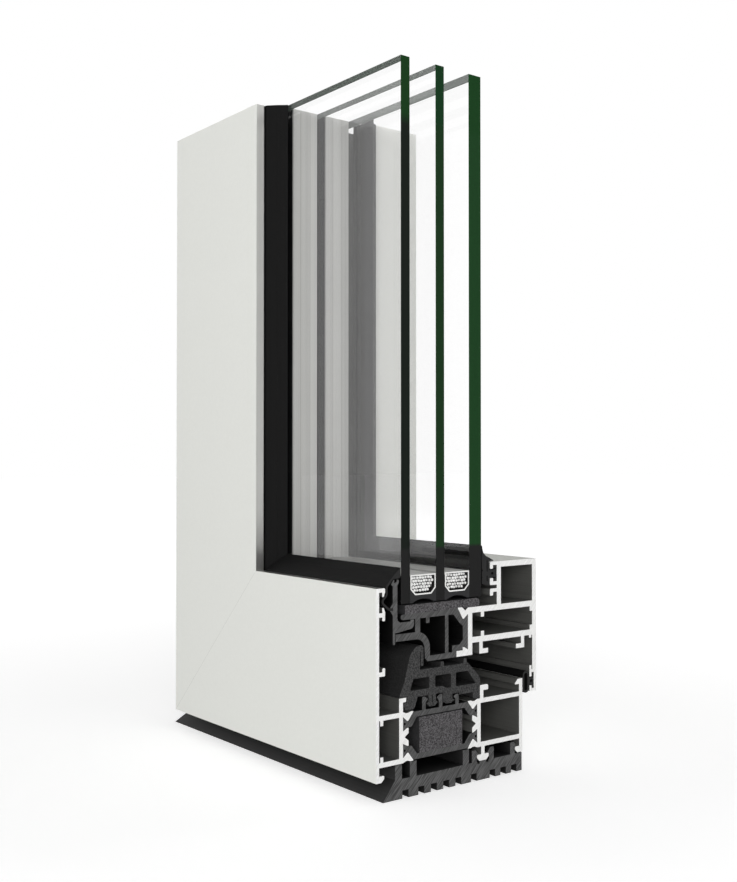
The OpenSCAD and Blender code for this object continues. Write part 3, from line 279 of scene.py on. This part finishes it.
def rubber(name, drawn, sawn):
    """Extruded rubber or set sealant: black with a low sheen and faint lines along the run, greyer where it
    was cut."""
    made, tree = new_material(name)
    at = section_of(tree)
    die = die_lines(tree, at, RUBBER_LINES)
    run = add(tree, "ShaderNodeMix", {SHARE: die, FROM: colour(drawn[0]), TO: colour(drawn[1])},
              data_type="RGBA")
    body = add(tree, "ShaderNodeMix", {SHARE: at.cut, FROM: run, TO: colour(sawn)}, data_type="RGBA")
    normal = add(tree, "ShaderNodeBump", {"Height": die, "Distance": RUBBER_RELIEF})
    shader = add(tree, "ShaderNodeBsdfPrincipled",
                 {"Base Color": body, "Roughness": 0.6, "Specular IOR Level": 0.1, "Normal": normal})
    add(tree, "ShaderNodeOutputMaterial", {"Surface": shader})
    return made


# The outside of a bar is no deeper than this, and its top, the sight line, lies this high over its foot
SPACER_SKIN = 0.1 * MM
SPACER_HEIGHT = 7.1 * MM
SIGHT_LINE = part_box("outer_spacer")[0].z + SPACER_HEIGHT - OUTER_Z
BARE_FLANK = 0.8 * MM
# A rolled groove lies this share of the bar's width to each side of its middle
GROOVE_OFF = 0.2
GROOVE_HALF = 0.12 * MM
SPACER_LINES = 1.1 * MM
SPACER_RELIEF = 0.05 * MM


def spacer_metal(name, node):
    """Roll formed aluminium strip: satin grey, drawn along its run, with a rolled groove to each side of its
    middle and a bright sawn edge."""
    low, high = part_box(node)
    width = high.y - low.y
    made, tree = new_material(name)
    at = section_of(tree)
    from_middle = add(tree, "ShaderNodeMath", {0: at.y, 1: (low.y + high.y) / 2}, operation="SUBTRACT")
    off = add(tree, "ShaderNodeMath", {0: from_middle}, operation="ABSOLUTE")
    groove = add(tree, "ShaderNodeMath", {0: off, 1: width * GROOVE_OFF, 2: GROOVE_HALF}, operation="COMPARE")
    die = die_lines(tree, at, SPACER_LINES)
    drawn = add(tree, "ShaderNodeMix", {SHARE: die, FROM: colour("#b1b1ae"), TO: colour("#cdcdca")},
                data_type="RGBA")
    rolled = add(tree, "ShaderNodeMix", {SHARE: groove, FROM: drawn, TO: colour("#a9a9a6")}, data_type="RGBA")
    # Black butyl sticks the flanks to the panes from just under the sight line, and the bar's inside is
    # painted dark as shade
    flank = add(tree, "ShaderNodeMath", {0: off, 1: width / 2 - SPACER_SKIN}, operation="GREATER_THAN")
    edge = add(tree, "ShaderNodeMapRange",
               {"Value": flank, "To Min": SIGHT_LINE - SPACER_SKIN, "To Max": SIGHT_LINE - BARE_FLANK})
    shut_in = add(tree, "ShaderNodeMath", {0: at.h, 1: edge}, operation="LESS_THAN")
    butyl_and_inner_shade = add(tree, "ShaderNodeMix", {SHARE: flank, FROM: colour("#2c2c2b"), TO: colour("#080808")},
                data_type="RGBA")
    strip = add(tree, "ShaderNodeMix", {SHARE: shut_in, FROM: rolled, TO: butyl_and_inner_shade}, data_type="RGBA")
    body = add(tree, "ShaderNodeMix", {SHARE: at.cut, FROM: strip, TO: colour("#eeeeec")}, data_type="RGBA")
    normal = add(tree, "ShaderNodeBump", {"Height": die, "Distance": SPACER_RELIEF})
    shader = add(tree, "ShaderNodeBsdfPrincipled",
                 {"Base Color": body, "Roughness": 0.45, "Metallic": 0.2, "Normal": normal})
    add(tree, "ShaderNodeOutputMaterial", {"Surface": shader})
    return made


CHALK = 1.5 * MM
# Depths behind a cut to which the beads keep their white, and from which the painted shade makes them dark
SHADE_START, DARK_FROM = 0.4 * MM, 1.4 * MM


def zeolite_beads():
    """Fired clay beads of the drying agent: chalky white at the cut, each a little apart in tone, and painted
    darker with depth behind the cut as the shade between and behind them."""
    made, tree = new_material("fired_zeolite_beads")
    place = add(tree, "ShaderNodeTexCoord").outputs["Object"]
    chalk = add(tree, "ShaderNodeTexNoise", {"Vector": place, "Scale": 1 / CHALK, "Detail": 3.0})
    bead_white = add(tree, "ShaderNodeMix", {SHARE: chalk, FROM: colour("#e8e8e6"), TO: colour("#fdfdfc")},
                 data_type="RGBA")
    ends = (SILL_END, 0.0, JAMB_END)
    from_ends = add(tree, "ShaderNodeVectorMath", {0: ends, 1: place}, operation="SUBTRACT")
    back = add(tree, "ShaderNodeSeparateXYZ", {0: from_ends}).outputs
    depth = add(tree, "ShaderNodeMath", {0: back["X"], 1: back["Z"]}, operation="MINIMUM")
    # Painted shade: the beads darken with depth behind the cut
    behind = add(tree, "ShaderNodeMapRange", {"Value": depth, "From Min": SHADE_START, "From Max": DARK_FROM})
    body = add(tree, "ShaderNodeMix", {SHARE: behind, FROM: bead_white, TO: colour("#2e2e2d")}, data_type="RGBA")
    shader = add(tree, "ShaderNodeBsdfPrincipled",
                 {"Base Color": body, "Roughness": 0.8, "Specular IOR Level": 0.3})
    add(tree, "ShaderNodeOutputMaterial", {"Surface": shader})
    return made


# Shares of light that a pane mirrors, seen straight on and at the lowest angle
SHEEN_STRAIGHT, SHEEN_LOW = 0.045, 0.6
SHEEN_POWER = 5.0


def glass_face():
    """Float glass through its fire polished faces: clear, with a mirror sheen that grows at a low angle."""
    made, tree = new_material("float_glass_face")
    facing = add(tree, "ShaderNodeLayerWeight", {"Blend": 0.5}).outputs["Facing"]
    low_angle = add(tree, "ShaderNodeMath", {0: facing, 1: SHEEN_POWER}, operation="POWER")
    sheen = add(tree, "ShaderNodeMapRange",
                {"Value": low_angle, "To Min": SHEEN_STRAIGHT, "To Max": SHEEN_LOW})
    clear = add(tree, "ShaderNodeBsdfTransparent", {"Color": WHITE})
    mirror = add(tree, "ShaderNodeBsdfGlossy", {"Color": WHITE, "Roughness": 0.0})
    pane_face = add(tree, "ShaderNodeMixShader", {0: sheen, 1: clear, 2: mirror})
    add(tree, "ShaderNodeOutputMaterial", {"Surface": pane_face})
    return made


SEAL_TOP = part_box("sill_inside_gasket")[1].z
SEAL_BLEND = 1.0 * MM
# The edges are painted greener from here up, as painted light
PAINTED_GLOW_FROM = JAMB_END - 20.0 * MM
TOP_BLEND = 4.0 * MM
# Waves that the grinding leaves. Its grit is too fine to show.
EDGE_WAVES, TOP_WAVES = 3.0 * MM, 4.0 * MM
EDGE_RELIEF = 0.02 * MM


def glass_edge(name, green, painted_top_green):
    """Ground edge of float glass: the iron in it shows as deep green, with painted shade that makes it black
    beside the edge seal and painted light that makes it greener near the top."""
    made, tree = new_material(name)
    place = add(tree, "ShaderNodeTexCoord").outputs["Object"]
    z = add(tree, "ShaderNodeSeparateXYZ", {0: place}).outputs["Z"]
    # Painted shade beside the seal and painted light near the top
    above_seal_shade = add(tree, "ShaderNodeMapRange",
                    {"Value": z, "From Min": SEAL_TOP, "From Max": SEAL_TOP + SEAL_BLEND})
    painted_top_light = add(tree, "ShaderNodeMapRange",
                   {"Value": z, "From Min": PAINTED_GLOW_FROM - TOP_BLEND, "From Max": PAINTED_GLOW_FROM})
    ground = add(tree, "ShaderNodeTexNoise", {"Vector": place, "Scale": 1 / EDGE_WAVES, "Detail": 2.0})
    iron_green_and_top_light = add(tree, "ShaderNodeMix", {SHARE: painted_top_light, FROM: colour(green), TO: colour(painted_top_green)},
               data_type="RGBA")
    body = add(tree, "ShaderNodeMix", {SHARE: above_seal_shade, FROM: colour("#202020"), TO: iron_green_and_top_light}, data_type="RGBA")
    normal = add(tree, "ShaderNodeBump", {"Height": ground, "Distance": EDGE_RELIEF})
    shader = add(tree, "ShaderNodeBsdfPrincipled",
                 {"Base Color": body, "Roughness": 0.3, "Specular IOR Level": 0.05, "Normal": normal})
    add(tree, "ShaderNodeOutputMaterial", {"Surface": shader})
    return made


def glass_top_edge(name, share):
    """Ground top edge of float glass: grey green and frosted by the grinding, and that share of the light
    comes through."""
    made, tree = new_material(name)
    place = add(tree, "ShaderNodeTexCoord").outputs["Object"]
    ground = add(tree, "ShaderNodeTexNoise", {"Vector": place, "Scale": 1 / TOP_WAVES, "Detail": 2.0})
    body = add(tree, "ShaderNodeMix", {SHARE: ground, FROM: colour("#3f5244"), TO: colour("#485b4d")},
               data_type="RGBA")
    frosted = add(tree, "ShaderNodeBsdfPrincipled",
                  {"Base Color": body, "Roughness": 0.4, "Specular IOR Level": 0.1})
    clear = add(tree, "ShaderNodeBsdfTransparent", {"Color": WHITE})
    edge = add(tree, "ShaderNodeMixShader", {0: share, 1: frosted, 2: clear})
    add(tree, "ShaderNodeOutputMaterial", {"Surface": edge})
    return made


def wear(material, *names):
    """Gives CAD nodes their material."""
    for name in names:
        mesh = cad[name].data
        mesh.materials.clear()
        mesh.materials.append(material)


def runs(kind):
    """The nodes of a profile's two runs."""
    return "sill_" + kind, "jamb_" + kind


# A point counts as lying on a face within this depth
FACE = 0.2 * MM
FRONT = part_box("sill_frame_outer_shell")[0].y
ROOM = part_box("sill_sash_shell")[1].y
FRAME_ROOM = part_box("sill_frame_inner_shell")[1].y
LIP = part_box("sill_frame_outer_shell")[1].z - OUTER_Z
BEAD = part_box("sill_sash_shell")[1].z - OUTER_Z
SASH_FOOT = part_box("sill_sash_shell")[0].z - OUTER_Z

frame_outside = [("y", "LESS_THAN", FRONT + FACE)]
frame_room_side = [("y", "GREATER_THAN", FRAME_ROOM - FACE)]
sash_faces = [("y", "GREATER_THAN", ROOM - FACE), ("h", "GREATER_THAN", BEAD - FACE),
              ("h", "LESS_THAN", SASH_FOOT + FACE)]
wear(coated_aluminium("powder_coated_frame_outside", frame_outside, LIP - FACE), *runs("frame_outer_shell"))
wear(coated_aluminium("powder_coated_frame_room_side", frame_room_side), *runs("frame_inner_shell"))
wear(coated_aluminium("powder_coated_sash", sash_faces), *runs("sash_shell"))
wear(extruded_plastic("glass_filled_polyamide", ("#141414", "#1c1c1c"), ("#3f3f3f", "#5e5e5e"), STRIP_SAW),
     *runs("upper_strip"), *runs("lower_strip"), *runs("sash_strip"))
wear(extruded_plastic("black_polyamide_clip", ("#121212", "#1a1a1a"), ("#444444", "#646464"), STRIP_SAW),
     *runs("glazing_clip"))
wear(extruded_plastic("extruded_base_plastic", ("#343434", "#3d3d3d"), ("#3c3c3c", "#646464"), BASE_SAW),
     "base_profile")
wear(cellular("closed_cell_foam", ("#303031", "#3d3d3e"), ("#222122", "#6e6c6e"), FOAM_CELL),
     *runs("foam_core"), *runs("glazing_tape"))
wear(cellular("microcellular_rubber", ("#262626", "#313131"), ("#272727", "#525252"), RUBBER_CELL),
     *runs("central_gasket"))
wear(rubber("extruded_epdm_rubber", ("#0e0e0e", "#131313"), "#2a2a2a"),
     *runs("outside_gasket"), *runs("inside_gasket"), *runs("overlap_gasket"))
wear(rubber("polysulphide_sealant", ("#2a2a2b", "#333334"), "#2f2f30"), "outer_edge_seal", "inner_edge_seal")
wear(spacer_metal("roll_formed_outer_spacer", "outer_spacer"), "outer_spacer")
wear(spacer_metal("roll_formed_inner_spacer", "inner_spacer"), "inner_spacer")


def plain_mesh(name, built):
    """A new object in the scene from a built mesh, which is used up."""
    mesh = bpy.data.meshes.new(name)
    built.to_mesh(mesh)
    built.free()
    made = bpy.data.objects.new(name, mesh)
    scene.collection.objects.link(made)
    return made


ARRIS = 0.12 * MM
FACE_SLOT, EDGE_SLOT, TOP_SLOT = range(3)
# Share of a normal past which a face counts as turned that way, so that arrises count as edges
TURNED = 0.9


def pane(node, face, edge, top_edge):
    """A pane with ground arrises, clear on its faces and green on its edges."""
    low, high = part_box(node)
    built = bmesh.new()
    bmesh.ops.create_cube(built, size=1.0)
    for v in built.verts:
        v.co = Vector(high[i] if v.co[i] > 0 else low[i] for i in range(3))
    bmesh.ops.bevel(built, geom=list(built.edges), offset=ARRIS, segments=1, affect="EDGES")
    for f in built.faces:
        if abs(f.normal.y) > TURNED:
            f.material_index = FACE_SLOT
        elif f.normal.z > TURNED:
            f.material_index = TOP_SLOT
        else:
            f.material_index = EDGE_SLOT
    made = plain_mesh(node.replace("pane", "glass"), built)
    for material in (face, edge, top_edge):
        made.data.materials.append(material)
    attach(made, "root")
    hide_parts(node)


clear_face = glass_face()
# The outer pane's edge green is painted darker than the others as shade
pane("outer_pane", clear_face, glass_edge("float_glass_outer_edge", "#151b16", "#153818"),
     glass_top_edge("float_glass_outer_top", share=0.02))
pane("middle_pane", clear_face, glass_edge("float_glass_middle_edge", "#18321a", "#11341a"),
     glass_top_edge("float_glass_middle_top", share=0.09))
pane("inner_pane", clear_face, glass_edge("float_glass_inner_edge", "#1a3e1f", "#153c1a"),
     glass_top_edge("float_glass_inner_top", share=0.09))

# Beads lie in rows across the bore of a spacer bar, and in layers back from its two cut ends
BEAD_INPUTS = {"Width": "Float", "Height": "Float", "Chamfer": "Float",
               "Columns": "Int", "Rows": "Int", "Layers": "Int", "Seed": "Int",
               "Sill end": "Vector", "Jamb end": "Vector"}
ACROSS_SILL = (math.radians(90.0), 0.0, math.radians(90.0))
ACROSS_JAMB = (0.0, 0.0, math.radians(-90.0))
# In bead sizes: the step between layers, the shift of a row, the shake of a bead, and its own size
LAYER_STEP = 0.9
ROW_SHIFT = 0.25
SHAKE_LOW, SHAKE_HIGH = (-0.06, -0.08, -0.3), (0.06, 0.08, 0.0)
SMALLEST, LARGEST = 0.84, 0.95
# Radii that a bead's middle keeps clear of the chamfer
CHAMFER_CLEAR = 1.3


def bead_tree(material):
    """Geometry nodes that pack beads in the two cut ends of a spacer bar."""
    tree = bpy.data.node_groups.new("desiccant_beads", "GeometryNodeTree")
    tree.interface.new_socket("Geometry", in_out="OUTPUT", socket_type="NodeSocketGeometry")
    sockets = {}
    for label, kind in BEAD_INPUTS.items():
        socket = tree.interface.new_socket(label, in_out="INPUT", socket_type="NodeSocket" + kind)
        sockets[label] = socket.identifier
    given = add(tree, "NodeGroupInput").outputs
    # Every other row sits half a bead along, so a row takes half a bead more than its count
    in_row = add(tree, "ShaderNodeMath", {0: given["Columns"], 1: 0.5}, operation="ADD")
    size = add(tree, "ShaderNodeMath", {0: given["Width"], 1: in_row}, operation="DIVIDE")
    radius = add(tree, "ShaderNodeMath", {0: size, 1: 0.5}, operation="MULTIPLY")
    row_length = add(tree, "ShaderNodeMath", {0: given["Width"], 1: size}, operation="SUBTRACT")
    row_length = add(tree, "ShaderNodeMath", {0: row_length, 1: radius}, operation="SUBTRACT")
    stack = add(tree, "ShaderNodeMath", {0: given["Height"], 1: size}, operation="SUBTRACT")
    layer = add(tree, "GeometryNodeMeshGrid", {"Size X": row_length, "Size Y": stack,
                                               "Vertices X": given["Columns"], "Vertices Y": given["Rows"]})
    first = add(tree, "ShaderNodeVectorMath", {0: (0.0, 0.0, -1.0), "Scale": radius}, operation="SCALE")
    step = add(tree, "ShaderNodeVectorMath", {0: (0.0, 0.0, -LAYER_STEP), "Scale": size}, operation="SCALE")
    depths = add(tree, "GeometryNodeMeshLine",
                 {"Count": given["Layers"], "Start Location": first, "Offset": step})
    layers = add(tree, "GeometryNodeInstanceOnPoints", {"Points": depths, "Instance": layer})
    lattice = add(tree, "GeometryNodeRealizeInstances", {"Geometry": layers})
    index = add(tree, "GeometryNodeInputIndex")
    row = add(tree, "ShaderNodeMath", {0: index, 1: given["Rows"]}, operation="MODULO")
    odd = add(tree, "ShaderNodeMath", {0: row, 1: 2.0}, operation="MODULO")
    half_bead = add(tree, "ShaderNodeMapRange", {"Value": odd, "To Min": -ROW_SHIFT, "To Max": ROW_SHIFT})
    stagger = add(tree, "ShaderNodeCombineXYZ", {0: half_bead})
    shake = add(tree, "FunctionNodeRandomValue", {"Min": SHAKE_LOW, "Max": SHAKE_HIGH, "Seed": given["Seed"]},
                data_type="FLOAT_VECTOR")
    move = add(tree, "ShaderNodeVectorMath", {0: stagger, 1: shake}, operation="ADD")
    move = add(tree, "ShaderNodeVectorMath", {0: move, "Scale": size}, operation="SCALE")
    settled = add(tree, "GeometryNodeSetPosition", {"Geometry": lattice, "Offset": move})
    # No bead lies in the chamfered lower corners of the bore
    spot = add(tree, "ShaderNodeSeparateXYZ", {0: add(tree, "GeometryNodeInputPosition")}).outputs
    off = add(tree, "ShaderNodeMath", {0: spot["X"]}, operation="ABSOLUTE")
    towards_corner = add(tree, "ShaderNodeMath", {0: off, 1: spot["Y"]}, operation="SUBTRACT")
    bore = add(tree, "ShaderNodeMath", {0: given["Width"], 1: given["Height"]}, operation="ADD")
    corner = add(tree, "ShaderNodeMath", {0: bore, 1: 0.5}, operation="MULTIPLY")
    slope = add(tree, "ShaderNodeMath", {0: corner, 1: given["Chamfer"]}, operation="SUBTRACT")
    limit = add(tree, "ShaderNodeMath", {0: radius, 1: -CHAMFER_CLEAR, 2: slope}, operation="MULTIPLY_ADD")
    in_wall = add(tree, "ShaderNodeMath", {0: towards_corner, 1: limit}, operation="GREATER_THAN")
    kept = add(tree, "GeometryNodeDeleteGeometry", {"Geometry": settled, "Selection": in_wall},
               domain="POINT")
    ball = add(tree, "GeometryNodeMeshUVSphere", {"Segments": 8, "Rings": 6, "Radius": radius})
    round_ball = add(tree, "GeometryNodeSetShadeSmooth", {"Geometry": ball})
    grade = add(tree, "FunctionNodeRandomValue", {2: SMALLEST, 3: LARGEST, "Seed": given["Seed"]},
                data_type="FLOAT")
    turn = add(tree, "FunctionNodeRandomValue",
               {"Min": (0.0,) * 3, "Max": (math.tau,) * 3, "Seed": given["Seed"]}, data_type="FLOAT_VECTOR")
    beads = add(tree, "GeometryNodeInstanceOnPoints",
                {"Points": kept, "Instance": round_ball, "Rotation": turn, "Scale": grade})
    in_sill = add(tree, "GeometryNodeTransform",
                  {"Geometry": beads, "Translation": given["Sill end"], "Rotation": ACROSS_SILL})
    in_jamb = add(tree, "GeometryNodeTransform",
                  {"Geometry": beads, "Translation": given["Jamb end"], "Rotation": ACROSS_JAMB})
    both = add(tree, "GeometryNodeJoinGeometry", {0: in_sill})
    tree.links.new(in_jamb.outputs[0], both.inputs[0])
    real = add(tree, "GeometryNodeRealizeInstances", {"Geometry": both})
    dressed = add(tree, "GeometryNodeSetMaterial", {"Geometry": real, "Material": material})
    add(tree, "NodeGroupOutput", {0: dressed})
    return tree, sockets


FILL_HEIGHT = 5.6 * MM
FILL_LIFT = 0.4 * MM
FILL_CHAMFER = 1.4 * MM
COLUMNS, ROWS, LAYERS = 8, 5, 4


def desiccant(node, tree, sockets, material, seed):
    """Fill of a spacer bar: loose beads at both cut ends and a packed core between them."""
    low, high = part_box(node)
    width = high.y - low.y
    middle = (low.y + high.y) / 2
    holder = bpy.data.objects.new(node + "_beads", bpy.data.meshes.new(node + "_beads"))
    scene.collection.objects.link(holder)
    modifier = holder.modifiers.new("beads", "NODES")
    modifier.node_group = tree
    values = {"Width": width, "Height": FILL_HEIGHT, "Chamfer": FILL_CHAMFER,
              "Columns": COLUMNS, "Rows": ROWS, "Layers": LAYERS, "Seed": seed,
              "Sill end": (SILL_END, middle, low.z + FILL_LIFT + FILL_HEIGHT / 2),
              "Jamb end": (low.x + FILL_LIFT + FILL_HEIGHT / 2, middle, JAMB_END)}
    for label, value in values.items():
        modifier[sockets[label]] = value
    holder.update_tag()
    beads = bpy.data.meshes.new_from_object(holder.evaluated_get(bpy.context.evaluated_depsgraph_get()))
    holder.modifiers.remove(modifier)
    core = bmesh.new()
    core.from_mesh(cad[node].data)
    bmesh.ops.remove_doubles(core, verts=core.verts, dist=CUT_DEPTH)
    back = LAYERS * LAYER_STEP * width / (COLUMNS + 0.5)
    for v in core.verts:
        if v.co.x > SILL_END - CUT_DEPTH:
            v.co.x -= back
        if v.co.z > JAMB_END - CUT_DEPTH:
            v.co.z -= back
    core.from_mesh(beads)
    core.to_mesh(holder.data)
    core.free()
    holder.data.materials.clear()
    holder.data.materials.append(material)
    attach(holder, "root")
    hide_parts(node)


white_beads = zeolite_beads()
bead_nodes, bead_sockets = bead_tree(white_beads)
desiccant("outer_desiccant", bead_nodes, bead_sockets, white_beads, seed=3)
desiccant("inner_desiccant", bead_nodes, bead_sockets, white_beads, seed=8)


def studio_white(tree, lit, seen):
    """Strength of the studio's white: lit for rays that only carry light, seen for rays that look at it."""
    path = add(tree, "ShaderNodeLightPath").outputs
    mirrored = add(tree, "ShaderNodeMath", {0: path["Is Glossy Ray"], 1: path["Is Transmission Ray"]},
                   operation="MAXIMUM")
    looked_at = add(tree, "ShaderNodeMath", {0: path["Is Camera Ray"], 1: mirrored}, operation="MAXIMUM")
    return add(tree, "ShaderNodeMapRange", {"Value": looked_at, "To Min": lit, "To Max": seen})


# Metres from the origin to which the paper keeps the shadow, and from which it is all white
SHADOW_REACH, WHITE_REACH = 0.15, 0.6
SHADOW_GLOW, WHITE_GLOW = 0.51, 0.71
PAPER_HALF = 6.0


def studio_floor():
    """Matt white paper that keeps the shadow and burns out to the white of the studio."""
    made, tree = new_material("white_paper_floor")
    paper = add(tree, "ShaderNodeBsdfDiffuse", {"Color": colour("#e7e7e7")})
    place = add(tree, "ShaderNodeTexCoord").outputs["Object"]
    away = add(tree, "ShaderNodeVectorMath", {0: place}, operation="LENGTH").outputs["Value"]
    burn = add(tree, "ShaderNodeMapRange", {"Value": away, "From Min": SHADOW_REACH, "From Max": WHITE_REACH,
                                            "To Min": SHADOW_GLOW, "To Max": WHITE_GLOW})
    glow = add(tree, "ShaderNodeEmission",
               {"Color": WHITE, "Strength": studio_white(tree, lit=0.0, seen=burn)})
    both = add(tree, "ShaderNodeAddShader", {0: paper, 1: glow})
    add(tree, "ShaderNodeOutputMaterial", {"Surface": both})
    return made


paper_sheet = bmesh.new()
bmesh.ops.create_grid(paper_sheet, x_segments=1, y_segments=1, size=PAPER_HALF)
floor = plain_mesh("floor", paper_sheet)
floor.data.materials.append(studio_floor())

# Light that the studio gives from the side and from above
SIDE_LIGHT, TOP_LIGHT = 0.6, 0.26

scene.view_settings.view_transform = "Standard"
# A look through three panes and back meets twelve glass faces and more
scene.cycles.transparent_max_bounces = 32
scene.world = bpy.data.worlds.new("white_studio")
scene.world.use_nodes = True
sky = scene.world.node_tree
sky.nodes.clear()
way = add(sky, "ShaderNodeTexCoord").outputs["Generated"]
height = add(sky, "ShaderNodeSeparateXYZ", {0: way}).outputs["Z"]
soft_sky = add(sky, "ShaderNodeMapRange", {"Value": height, "To Min": SIDE_LIGHT, "To Max": TOP_LIGHT})
light = add(sky, "ShaderNodeBackground",
            {"Color": WHITE, "Strength": studio_white(sky, lit=soft_sky, seen=1.0)})
add(sky, "ShaderNodeOutputWorld", {"Surface": light})

LAMP_WIDTH = 0.9
LAMPS_AIM = Vector((0.0, 0.0, 0.12))


def soft_box(name, place, power):
    """A round soft box that looks at the middle of the sample. Glass and metal mirror the white studio, and
    not the lamp."""
    lamp = bpy.data.lights.new(name, "AREA")
    lamp.shape = "DISK"
    lamp.size = LAMP_WIDTH
    lamp.energy = power
    made = bpy.data.objects.new(name, lamp)
    made.location = place
    made.rotation_euler = (LAMPS_AIM - Vector(place)).to_track_quat("-Z", "Y").to_euler()
    made.visible_glossy = False
    scene.collection.objects.link(made)


soft_box("key_soft_box", (0.95, -0.75, 0.27), power=10.0)
soft_box("front_soft_box", (-0.9, -1.7, 0.3), power=4.8)
soft_box("back_soft_box", (0.15, 1.5, 0.25), power=7.5)

# The camera stands where the photograph's fitted one does
eye = bpy.data.cameras.new("camera")
eye.sensor_width = 36.0
eye.lens = 45.56
camera = bpy.data.objects.new("camera", eye)
camera.location = (0.37366, -0.27279, 0.11737)
camera.rotation_euler = (math.radians(90.889), 0.0, math.radians(52.343))
scene.collection.objects.link(camera)
scene.camera = camera
